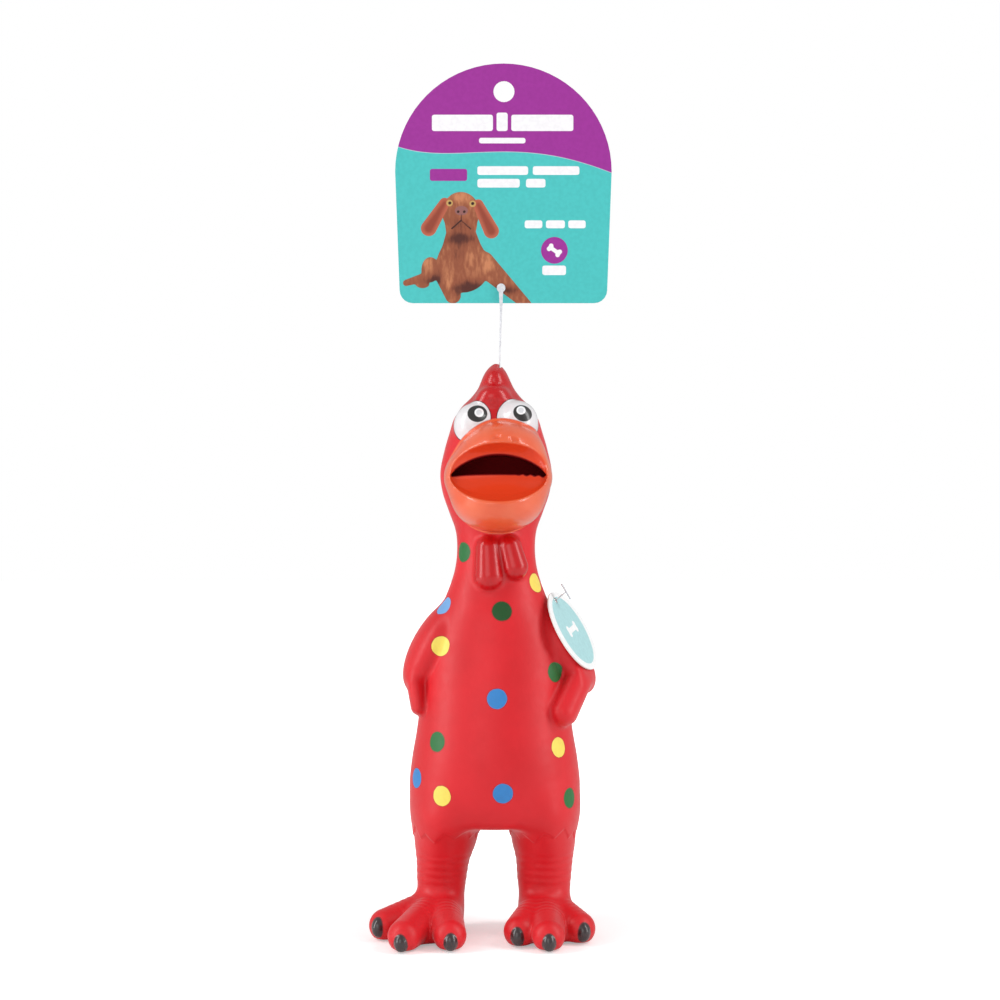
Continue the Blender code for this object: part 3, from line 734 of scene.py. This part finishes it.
def closing_faces(points, edges, piece, chosen):
    """Fans that close a piece's openings, one to each neighbour, and their middle points."""
    starts, ends, own, across = edges
    rim = (piece[own] == chosen) & (piece[across] != chosen)
    fans, middles = [], []
    for other in np.unique(piece[across[rim]]):
        chain = rim & (piece[across] == other)
        inward = (0, BELLY_BACKS[chosen], 0) if BELLY in (chosen, other) else (0, 0, 0)
        number = len(points) + len(middles)
        middles.append(points[starts[chain]].mean(0) + inward)
        fans += [(b, a, number) for a, b in zip(starts[chain], ends[chain])]
    return fans, middles


def make_mesh(name, points, faces):
    mesh = bpy.data.meshes.new(name)
    mesh.from_pydata(np.asarray(points).tolist(), [], [list(map(int, face)) for face in faces])
    mesh.update()
    return mesh


def add_object(name, mesh, material):
    made = bpy.data.objects.new(name, mesh)
    bpy.context.scene.collection.objects.link(made)
    mesh.materials.append(material)
    return made


def store(mesh, name, values, kind="FLOAT"):
    layer = mesh.attributes.new(name, kind, "POINT")
    key = "value" if kind == "FLOAT" else "vector"
    layer.data.foreach_set(key, np.asarray(values, np.float32).ravel())


def skin_piece(chosen, points, quads, edges, piece, normals, fields, material):
    name, node = PIECES[chosen]
    fans, middles = closing_faces(points, edges, piece, chosen)
    everything = np.concatenate([points, np.array(middles).reshape(-1, 3)])
    faces = [tuple(face) for face in quads[piece == chosen]] + fans
    used = np.unique(np.concatenate([np.array(face) for face in faces]))
    renumber = np.zeros(len(everything), int)
    renumber[used] = np.arange(len(used))
    faces = [tuple(renumber[list(face)]) for face in faces]
    mesh = make_mesh(name, to_frame(everything[used]), faces)
    mesh.shade_smooth()
    on_skin = used < len(points)
    source = np.where(on_skin, used, 0)
    facing = np.where(on_skin[:, None], normals[source], (0, 0, 1))
    mesh.normals_split_custom_set_from_vertices(facing.tolist())
    for field, values in fields.items():
        store(mesh, field, values[source])
    store(mesh, "rest", everything[used], "FLOAT_VECTOR")
    made = add_object(name, mesh, material)
    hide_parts(node)
    return made, everything[used]


def build_skin(material):
    points, quads = skin_surface()
    normals = point_normals(points, quads)
    fields = paint_fields(points)
    piece = piece_of(points[quads].mean(1))
    edges = directed_edges(quads, len(points))
    made = {}
    for chosen in PIECES:
        made[chosen] = skin_piece(chosen, points, quads, edges, piece, normals, fields, material)
    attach(made[TORSO][0], "torso")
    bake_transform(made[HEAD][0])
    for chosen, body in ((LEFT, "left_leg"), (RIGHT, "right_leg")):
        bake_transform(made[chosen][0])
    belly, belly_points = made[BELLY]
    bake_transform(belly)


# Materials.


class Nodes:
    """A node material under construction."""

    def __init__(self, name):
        self.material = bpy.data.materials.new(name)
        self.material.use_nodes = True
        self.tree = self.material.node_tree
        self.shader = self.tree.nodes["Principled BSDF"]

    def node(self, kind, **settings):
        made = self.tree.nodes.new(kind)
        for key, value in settings.items():
            setattr(made, key, value)
        return made

    def join(self, source, target):
        self.tree.links.new(source, target)

    def put(self, target, value):
        """A number, a colour or another node's output goes into an input."""
        if isinstance(value, bpy.types.NodeSocket):
            self.join(value, target)
        elif isinstance(value, tuple) and len(value) == 3 and target.type == "RGBA":
            target.default_value = (*value, 1)
        else:
            target.default_value = value

    def set(self, **inputs):
        for key, value in inputs.items():
            self.put(self.shader.inputs[key.replace("_", " ")], value)

    def attribute(self, name, output="Fac"):
        return self.node("ShaderNodeAttribute", attribute_name=name).outputs[output]

    def ramp(self, value, low, high, start=0.0, end=1.0):
        """start below low, end above high."""
        made = self.node("ShaderNodeMapRange", interpolation_type="SMOOTHSTEP")
        for key, item in zip(("Value", "From Min", "From Max", "To Min", "To Max"),
                             (value, low, high, start, end)):
            self.put(made.inputs[key], item)
        return made.outputs["Result"]

    def inside(self, value, edge=0.0, blur=0.12):
        """1 where a distance is under edge."""
        return self.ramp(value, edge - blur, edge + blur, 1.0, 0.0)

    def mix(self, share, a, b):
        made = self.node("ShaderNodeMix", data_type="RGBA")
        self.put(made.inputs["Factor"], share)
        self.put(made.inputs[6], a)
        self.put(made.inputs[7], b)
        return made.outputs[2]

    def blend_value(self, share, a, b):
        made = self.node("ShaderNodeMix", data_type="FLOAT")
        self.put(made.inputs["Factor"], share)
        self.put(made.inputs[2], a)
        self.put(made.inputs[3], b)
        return made.outputs[0]

    def math(self, operation, a, b=0.0):
        made = self.node("ShaderNodeMath", operation=operation)
        self.put(made.inputs[0], a)
        self.put(made.inputs[1], b)
        return made.outputs[0]

    def noise(self, place, scale, detail=3.0, roughness=0.5):
        made = self.node("ShaderNodeTexNoise")
        self.join(place, made.inputs["Vector"])
        made.inputs["Scale"].default_value = scale
        made.inputs["Detail"].default_value = detail
        made.inputs["Roughness"].default_value = roughness
        return made.outputs["Fac"]

    def bump(self, height, strength, distance):
        made = self.node("ShaderNodeBump")
        made.inputs["Strength"].default_value = strength
        made.inputs["Distance"].default_value = distance
        self.join(height, made.inputs["Height"])
        self.join(made.outputs["Normal"], self.shader.inputs["Normal"])


RED = linear(220, 22, 34)
RED_DEEP = linear(209, 17, 28)
DOT_COLOURS = {
    GREEN: linear(16, 76, 26),
    YELLOW: linear(246, 222, 96),
    BLUE: linear(50, 130, 200),
    PALE: linear(112, 168, 224),
    # The lighter green is the green paint made lighter as painted sheen, not a paint of its own.
    SHEEN_GREEN: linear(26, 110, 50),
}


def dot_paint(m, place):
    """The colour of the nearest painted dot."""
    hue = m.attribute("dot_hue")
    paint = DOT_COLOURS[GREEN]
    for number in (YELLOW, BLUE, PALE, SHEEN_GREEN):
        chosen = m.inside(m.math("ABSOLUTE", m.math("SUBTRACT", hue, number)), 0.4, 0.05)
        paint = m.mix(chosen, paint, DOT_COLOURS[number])
    worn = m.ramp(m.noise(place, 0.6, 2), 0.35, 0.75, 0.0, 0.12)
    return m.mix(worn, paint, m.mix(0.5, paint, linear(30, 30, 30)))


def dotted(m, colour, place):
    """Adds the dots, each with a thin dark edge of painted shade."""
    dot = m.attribute("dot")
    wobble = m.ramp(m.noise(place, 0.5, 1), 0, 1, -0.12, 0.12)
    # The dark ring just outside each dot is painted shade at the edge of the paint.
    colour = m.mix(m.inside(dot, 0.28, 0.2), colour, m.mix(0.4, colour, linear(70, 12, 16)))
    return m.mix(m.inside(m.math("ADD", dot, wobble)), colour, dot_paint(m, place))


def bill_colour(m, colour, place, bill_share, lip_shade, dark):
    """Adds the bill, the hollow between its lips in a darker, redder orange as painted shade, and
    the dark of the mouth, also painted shade.
    """
    patches = m.ramp(m.noise(place, 0.09, 2), 0.35, 0.7)
    orange = m.mix(patches, linear(232, 90, 46), linear(234, 102, 60))
    colour = m.mix(bill_share, colour, orange)
    # Painted shade: the hollow between the lips is a darker, redder orange.
    colour = m.mix(lip_shade, colour, linear(220, 62, 28))
    # The inside of the mouth is painted shade: dark red, with its reflections turned off below.
    return m.mix(dark, colour, linear(112, 16, 20))


def eye_colour(m, colour, eye):
    """Adds the whites, the pupils and the spots in them."""
    colour = m.mix(eye, colour, linear(230, 227, 229))
    pupil = m.math("MULTIPLY", m.inside(m.attribute("pupil")), eye)
    colour = m.mix(pupil, colour, linear(34, 32, 31))
    spot = m.attribute("spot")
    colour = m.mix(m.math("MULTIPLY", m.inside(spot), eye), colour, linear(246, 246, 247))
    return m.mix(m.math("MULTIPLY", m.inside(spot, -0.6), eye), colour, linear(216, 217, 220))


def latex():
    """Satin red latex with everything that is painted on it."""
    m = Nodes("painted_latex")
    place = m.attribute("rest", "Vector")
    colour = m.mix(m.ramp(m.noise(place, 0.05, 4), 0.3, 0.7), RED, RED_DEEP)
    glossy = m.inside(m.attribute("comb"), 0, 0.9)
    colour = m.mix(glossy, colour, linear(192, 5, 15))
    colour = dotted(m, colour, place)

    bill_share = m.inside(m.attribute("bill"), 0, 0.25)
    # Painted shade in the hollow between the lips.
    lip_shade = m.inside(m.attribute("lip_shade"), 0, 0.25)
    # Painted shade inside the mouth.
    dark = m.inside(m.attribute("mouth"), 0, 0.3)
    colour = bill_colour(m, colour, place, bill_share, lip_shade, dark)

    above = m.math("SUBTRACT", 1, bill_share)
    # A thin dark line round the whites: painted shade at the edge of the paint.
    outline = m.math("MULTIPLY", m.inside(m.attribute("eye_white"), 0.3, 0.15), above)
    colour = m.mix(outline, colour, linear(80, 14, 20))
    eye = m.math("MULTIPLY", m.inside(m.attribute("eye_white"), 0, 0.12), above)
    colour = eye_colour(m, colour, eye)

    claw = m.inside(m.attribute("claw"), 0, 0.15)
    colour = m.mix(claw, colour, linear(46, 34, 36))

    lacquer = m.math("MAXIMUM", claw, m.math("MAXIMUM", bill_share, eye))
    shine = m.math("MAXIMUM", glossy, lacquer)
    # Reflections are turned down where shade is painted, in the mouth and between the lips.
    light = m.math("SUBTRACT", 1, m.math("MAXIMUM", dark, m.math("MULTIPLY", lip_shade, 0.7)))
    rough = m.ramp(m.noise(place, 0.35, 3), 0.3, 0.7, 0.44, 0.52)
    rough = m.blend_value(glossy, m.blend_value(lacquer, rough, 0.35), 0.27)
    m.set(
        Base_Color=colour,
        Roughness=m.blend_value(dark, rough, 1.0),
        Specular_IOR_Level=m.math("MULTIPLY", light, m.ramp(shine, 0, 1, 0.4, 0.5)),
        Sheen_Weight=m.math("MULTIPLY", light, m.ramp(shine, 0, 1, 0.22, 0.0)),
        Sheen_Roughness=0.35,
        Coat_Weight=m.math("MULTIPLY", light, m.ramp(lacquer, 0, 1, 0.08, 0.6)),
        Coat_Roughness=m.ramp(lacquer, 0, 1, 0.3, 0.09),
    )
    grain = m.noise(place, 1.3, 4, 0.6)
    m.bump(m.math("MULTIPLY", grain, m.ramp(shine, 0, 1, 1, 0.15)), 0.12, 0.3 * MM)
    return m.material


def object_place(m):
    return m.node("ShaderNodeTexCoord").outputs["Object"]


def plastic(name, colour, roughness, texture=400.0):
    """Moulded plastic with a faint grain."""
    m = Nodes(name)
    grain = m.noise(object_place(m), texture, 3)
    m.set(
        Base_Color=m.mix(m.ramp(grain, 0.3, 0.7, 0, 0.3), colour, tuple(c * 0.85 for c in colour)),
        Roughness=m.ramp(grain, 0.3, 0.7, roughness - 0.05, roughness + 0.08),
    )
    m.bump(grain, 0.1, 0.1 * MM)
    return m.material


def nylon():
    m = Nodes("clear_nylon")
    grain = m.noise(object_place(m), 900, 2)
    m.set(
        Base_Color=m.mix(m.ramp(grain, 0.3, 0.7), linear(222, 223, 227), linear(206, 208, 214)),
        Roughness=m.ramp(grain, 0.3, 0.7, 0.3, 0.4),
    )
    return m.material


def spring_steel():
    m = Nodes("brushed_spring_steel")
    stretch = m.node("ShaderNodeMapping")
    stretch.inputs["Scale"].default_value = (1, 0.05, 1)
    m.join(object_place(m), stretch.inputs["Vector"])
    brushed = m.noise(stretch.outputs["Vector"], 6000, 2)
    m.set(
        Base_Color=m.mix(brushed, linear(196, 198, 202), linear(160, 162, 168)),
        Metallic=1.0,
        Roughness=m.ramp(brushed, 0.3, 0.7, 0.2, 0.38),
    )
    return m.material


def printed(name, front_colour):
    """Coated board: front_colour(m, fibre) on its face, and bare board on its other sides."""
    m = Nodes(name)
    fibre = m.noise(object_place(m), 700, 4)
    bare = m.mix(m.ramp(fibre, 0.3, 0.7), linear(236, 234, 230), linear(231, 229, 225))
    m.set(
        Base_Color=m.mix(m.attribute("front"), bare, front_colour(m, fibre)),
        Roughness=m.ramp(fibre, 0.3, 0.7, 0.45, 0.55),
        Specular_IOR_Level=0.3,
    )
    m.bump(fibre, 0.05, 0.05 * MM)
    return m.material


def ink(m, fibre, colour):
    return m.mix(m.ramp(fibre, 0.3, 0.7), colour, tuple(c * 0.93 for c in colour))


def dog_coat(m):
    """Brown hair with streaks, darker and lighter places, and a dark outline."""
    streaks = m.node("ShaderNodeMapping")
    streaks.inputs["Scale"].default_value = (1, 1, 0.35)
    m.join(object_place(m), streaks.inputs["Vector"])
    hair = m.noise(streaks.outputs["Vector"], 900, 3)
    shade = m.math("ADD", m.attribute("shade"), m.ramp(hair, 0.3, 0.7, -0.16, 0.16))
    coat = m.mix(m.ramp(shade, -0.5, 0.15), linear(200, 130, 90), linear(148, 82, 56))
    coat = m.mix(m.ramp(shade, 0.1, 0.8), coat, linear(84, 40, 32))
    rim = m.inside(m.math("ABSOLUTE", m.attribute("fur")), 0.1, 0.3)
    return m.mix(m.math("MULTIPLY", rim, 0.4), coat, linear(96, 52, 42))


def dog_colour(m, colour):
    """Adds the dog."""
    colour = m.mix(m.inside(m.attribute("fur"), 0, 0.12), colour, dog_coat(m))
    ear = m.attribute("ear")
    flap = m.mix(m.ramp(ear, -2.2, -0.2), linear(146, 66, 48), linear(184, 96, 72))
    colour = m.mix(m.inside(ear, 0, 0.12), colour, flap)
    colour = m.mix(m.inside(m.attribute("nose"), 0, 0.15), colour, linear(146, 96, 92))
    colour = m.mix(m.inside(m.attribute("iris"), 0, 0.1), colour, linear(196, 160, 96))
    return m.mix(m.inside(m.attribute("dark_ink"), 0, 0.12), colour, linear(54, 28, 26))


def card_colour(m, fibre):
    wave = m.attribute("wave")
    white = ink(m, fibre, linear(248, 246, 249))
    purple = ink(m, fibre, linear(158, 46, 152))
    colour = m.mix(m.inside(wave, 0, 0.06), purple, ink(m, fibre, linear(76, 196, 194)))
    edge = m.inside(m.math("ABSOLUTE", wave), 0.14, 0.1)
    colour = m.mix(m.math("MULTIPLY", edge, 0.35), colour, white)
    colour = m.mix(m.inside(m.attribute("purple_ink"), 0, 0.08), colour, purple)
    colour = m.mix(m.inside(m.attribute("white_ink"), 0, 0.08), colour, white)
    return dog_colour(m, colour)


def tag_colour(m, fibre):
    teal = ink(m, fibre, linear(178, 222, 225))
    white = ink(m, fibre, linear(250, 251, 251))
    colour = m.mix(m.inside(m.attribute("disc"), 0, 0.1), white, teal)
    return m.mix(m.inside(m.attribute("white_ink"), 0, 0.08), colour, white)


# The printed card and tag: the CAD's solids, cut finely enough for their points to carry the
# artwork.


def cut_copy(name, node, body, directions, facing, material):
    """A copy of a CAD plate with points about PRINT_GAP apart, and its points in mm."""
    cut = bmesh.new()
    cut.from_mesh(frame["nodes"][node].data)
    bmesh.ops.remove_doubles(cut, verts=cut.verts, dist=0.001 * MM)
    for direction in map(Vector, directions):
        reach = [direction.dot(point.co) for point in cut.verts]
        for height in np.arange(min(reach) + PRINT_GAP * MM / 2, max(reach), PRINT_GAP * MM):
            bmesh.ops.bisect_plane(
                cut,
                geom=cut.verts[:] + cut.edges[:] + cut.faces[:],
                dist=1e-7,
                plane_co=direction * float(height),
                plane_no=direction,
            )
    mesh = bpy.data.meshes.new(name)
    cut.to_mesh(mesh)
    cut.free()
    mesh.shade_flat()
    made = add_object(name, mesh, material)
    front = [float(face.normal.dot(Vector(facing)) > 0.9) for face in mesh.polygons]
    mesh.attributes.new("front", "FLOAT", "FACE").data.foreach_set("value", front)
    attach(made, body)
    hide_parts(node)
    points = np.empty(len(mesh.vertices) * 3, np.float32)
    mesh.vertices.foreach_get("co", points)
    return made, from_frame(points.reshape(-1, 3))


def bar(p, left, right, low, high):
    """Distance to a flat bar with round corners."""
    corner = 0.8
    x = np.abs(p[:, 0] - (left + right) / 2) - (right - left) / 2 + corner
    z = np.abs(p[:, 2] - (low + high) / 2) - (high - low) / 2 + corner
    return np.hypot(np.maximum(x, 0), np.maximum(z, 0)) + np.minimum(np.maximum(x, z), 0) - corner


def bone(u, v, half_length, girth):
    """Distance to a flat bone that lies along u."""
    shaft = np.hypot(np.maximum(np.abs(u) - half_length, 0), v) - girth
    knuckles = np.hypot(np.abs(u) - half_length, np.abs(v) - girth) - girth * 1.15
    return np.minimum(shaft, knuckles)


def dog_fur(p):
    """Distance to a lying dog, drawn flat, without its ears."""
    shape = smooth_min(
        ellipsoid(p, (-12.8, 0, 252.5), (10.2, 9, 9.6)),
        round_cone(p, (-13.4, 0, 266), (-13.0, 0, 258), 5.6, 8.2),
        2,
    )
    parts = (
        ellipsoid(p, (-25, 0, 251.6), (3.4, 9, 4.8)),
        round_cone(p, (-25, 0, 249.4), (-34.2, 0, 246.6), 1.9, 1.2),
        ellipsoid(p, (-28, 0, 246.2), (2.6, 9, 1.6)),
        round_cone(p, (-19.6, 0, 250), (-16.4, 0, 241.8), 3.9, 3.0),
        round_cone(p, (-5, 0, 254), (11.5, 0, 238.4), 4.6, 1.9),
        ellipsoid(p, (-13.4, 0, 273.4), (7.1, 9, 7.8)),
        ellipsoid(p, (-13.3, 0, 268.4), (6.0, 9, 4.4)),
    )
    for part in parts:
        shape = smooth_min(shape, part, 0.8)
    return shape


def dog_ears(p):
    left = round_cone(p, (-19.6, 0, 277), (-25.6, 0, 267.4), 2.0, 3.0)
    right = round_cone(p, (-6.8, 0, 276.4), (-1.8, 0, 266.4), 2.0, 2.9)
    return np.minimum(left, right)


def dog_darks(p):
    """Distance to the pupils, the nostrils and the line of the mouth."""
    spots = ((-17.6, 277.0, 0.65), (-8.9, 276.8, 0.65), (-14.4, 273.7, 0.55), (-12.1, 273.7, 0.55))
    shape = np.full(len(p), FAR)
    for x, z, radius in spots:
        shape = np.minimum(shape, np.hypot(p[:, 0] - x, p[:, 2] - z) - radius)
    for side in (-1, 1):
        lip = round_cone(p, (-13.3, 0, 270.4), (-13.3 + side * 3.6, 0, 267.2), 0.25, 0.3)
        shape = np.minimum(shape, lip)
    return np.minimum(shape, round_cone(p, (-13.3, 0, 272.6), (-13.3, 0, 270.4), 0.2, 0.25))


def fur_shade(p):
    total = np.zeros(len(p))
    for x, z, reach_x, reach_z, darker in FUR_SHADES:
        across, up = (p[:, 0] - x) / reach_x, (p[:, 2] - z) / reach_z
        total += darker * np.exp(-(across**2) - up**2)
    return total


def print_card():
    directions = ((1, 0, 0), (0, 0, 1))
    material = printed("printed_board", card_colour)
    made, p = cut_copy("card_printed", "header_card", "card", directions, (0, -1, 0), material)
    p = p * (1, 0, 1)
    wave = np.polynomial.Polynomial.fit(*zip(*WAVE), 4)
    white = np.min([bar(p, *edges) for edges in WHITE_BARS], axis=0)
    tilt = Matrix.Rotation(math.radians(35), 3, "Y")
    local = (p - np.array(BADGE)) @ np.array(tilt)
    white = np.minimum(white, bone(local[:, 0], local[:, 2], 2.0, 0.75))
    badge = np.linalg.norm(p - np.array(BADGE), axis=1) - BADGE_RADIUS
    iris = np.min([np.hypot(p[:, 0] - x, p[:, 2] - z) for x, z in IRISES], axis=0) - 1.25
    fields = {
        "wave": p[:, 2] - wave(p[:, 0]),
        "white_ink": white,
        "purple_ink": np.minimum(bar(p, *PURPLE_BAR), badge),
        "fur": dog_fur(p),
        "ear": dog_ears(p),
        "shade": fur_shade(p),
        "nose": ellipsoid(p, (-13.2, 0, 274.1), (2.5, 9, 1.8)),
        "iris": iris,
        "dark_ink": dog_darks(p),
    }
    for field, values in fields.items():
        store(made.data, field, values)


def print_tag():
    up = np.array((-TAG_NORMAL[2], 0, TAG_NORMAL[0])) / math.hypot(TAG_NORMAL[0], TAG_NORMAL[2])
    along = np.cross(up, TAG_NORMAL)
    material = printed("tag_board", tag_colour)
    made, p = cut_copy("tag_printed", "swing_tag", "tag", (along, up), TAG_NORMAL, material)
    u, v = (p - TAG_CENTRE) @ along, (p - TAG_CENTRE) @ up
    store(made.data, "disc", np.hypot(u * TAG_DISC[1] / TAG_DISC[0], v) - TAG_DISC[1])
    store(made.data, "white_ink", bone(u, v - 0.5, 4.4, 1.1))


# Camera, light and floor.

CAMERA_X = 1.5
CAMERA_DISTANCE = 700
CAMERA_HEIGHT = 164
FOCAL_LENGTH = 66.3
SENSOR_WIDTH = 36.0
SURROUNDINGS = 0.48  # how brightly the white surroundings light the scene
FLOOR_REACH = 3  # m
FLOOR_Z = -0.0004  # m, just clear of the soles


def look_at(obj, target):
    obj.rotation_euler = (Vector(target) - obj.location).to_track_quat("-Z", "Y").to_euler()


def add_camera():
    lens = bpy.data.cameras.new("camera")
    lens.lens = FOCAL_LENGTH
    lens.sensor_width = SENSOR_WIDTH
    camera = bpy.data.objects.new("camera", lens)
    bpy.context.scene.collection.objects.link(camera)
    camera.location = to_frame((CAMERA_X, -CAMERA_DISTANCE, CAMERA_HEIGHT))
    look_at(camera, to_frame((CAMERA_X, 0, CAMERA_HEIGHT)))
    bpy.context.scene.camera = camera


def area_light(name, place, target, size, watts):
    data = bpy.data.lights.new(name, "AREA")
    data.shape = "RECTANGLE"
    data.size, data.size_y = size
    data.energy = watts
    light = bpy.data.objects.new(name, data)
    bpy.context.scene.collection.objects.link(light)
    light.location = place
    look_at(light, target)


def white_surroundings():
    """White to the camera, and dimmer as a source of light."""
    world = bpy.data.worlds.new("studio")
    world.use_nodes = True
    tree = world.node_tree
    path = tree.nodes.new("ShaderNodeLightPath")
    strength = tree.nodes.new("ShaderNodeMapRange")
    tree.links.new(path.outputs["Is Camera Ray"], strength.inputs["Value"])
    strength.inputs["To Min"].default_value = SURROUNDINGS
    strength.inputs["To Max"].default_value = 1.0
    background = tree.nodes["Background"]
    background.inputs["Color"].default_value = (1, 1, 1, 1)
    tree.links.new(strength.outputs["Result"], background.inputs["Strength"])
    bpy.context.scene.world = world


def pale_floor():
    """A white sheet. Its edges glow to the camera, so that they meet the background."""
    m = Nodes("pale_floor")
    parts = m.node("ShaderNodeSeparateXYZ")
    m.join(object_place(m), parts.inputs[0])
    away = m.math("ADD", *(m.math("POWER", parts.outputs[axis], 2) for axis in ("X", "Y")))
    glow = m.ramp(m.math("SQRT", away), 0.04, 0.2, 0.35, 0.9)
    seen = m.node("ShaderNodeLightPath").outputs["Is Camera Ray"]
    m.set(
        Base_Color=(0.93, 0.93, 0.93),
        Roughness=0.7,
        Specular_IOR_Level=0.1,
        Emission_Color=(1.0, 1.0, 1.0),
        Emission_Strength=m.math("MULTIPLY", glow, seen),
    )
    signs = ((-1, -1), (1, -1), (1, 1), (-1, 1))
    corners = [(x * FLOOR_REACH, y * FLOOR_REACH, 0) for x, y in signs]
    floor = add_object("floor", make_mesh("floor", corners, [(0, 1, 2, 3)]), m.material)
    floor.location.z = FLOOR_Z


def studio():
    bpy.context.scene.view_settings.view_transform = "Standard"
    white_surroundings()
    middle = (0, 0, 0.15)
    area_light("key", (-0.3, -1.0, 0.4), middle, (0.6, 0.6), 1.7)
    area_light("left_box", (-0.7, -0.2, 0.4), middle, (0.22, 1.0), 4.2)
    area_light("right_box", (0.7, -0.25, 0.5), middle, (0.22, 1.0), 4.0)
    pale_floor()


def finish_cad_nodes():
    finishes = {
        "sounder_tube": plastic("white_plastic", linear(232, 231, 226), 0.4),
        "sounder_lid": plastic("white_plastic_lid", linear(232, 231, 226), 0.4),
        "reed_plate": plastic("black_plastic", linear(38, 38, 40), 0.45),
        "reed_clamp": plastic("black_plastic_clamp", linear(38, 38, 40), 0.45),
        "reed_tongue": spring_steel(),
        "card_pin": nylon(),
        "tag_pin": nylon(),
    }
    for node, finish in finishes.items():
        mesh = frame["nodes"][node].data
        mesh.materials.clear()
        mesh.materials.append(finish)


build_skin(latex())
print_card()
print_tag()
finish_cad_nodes()
studio()
add_camera()
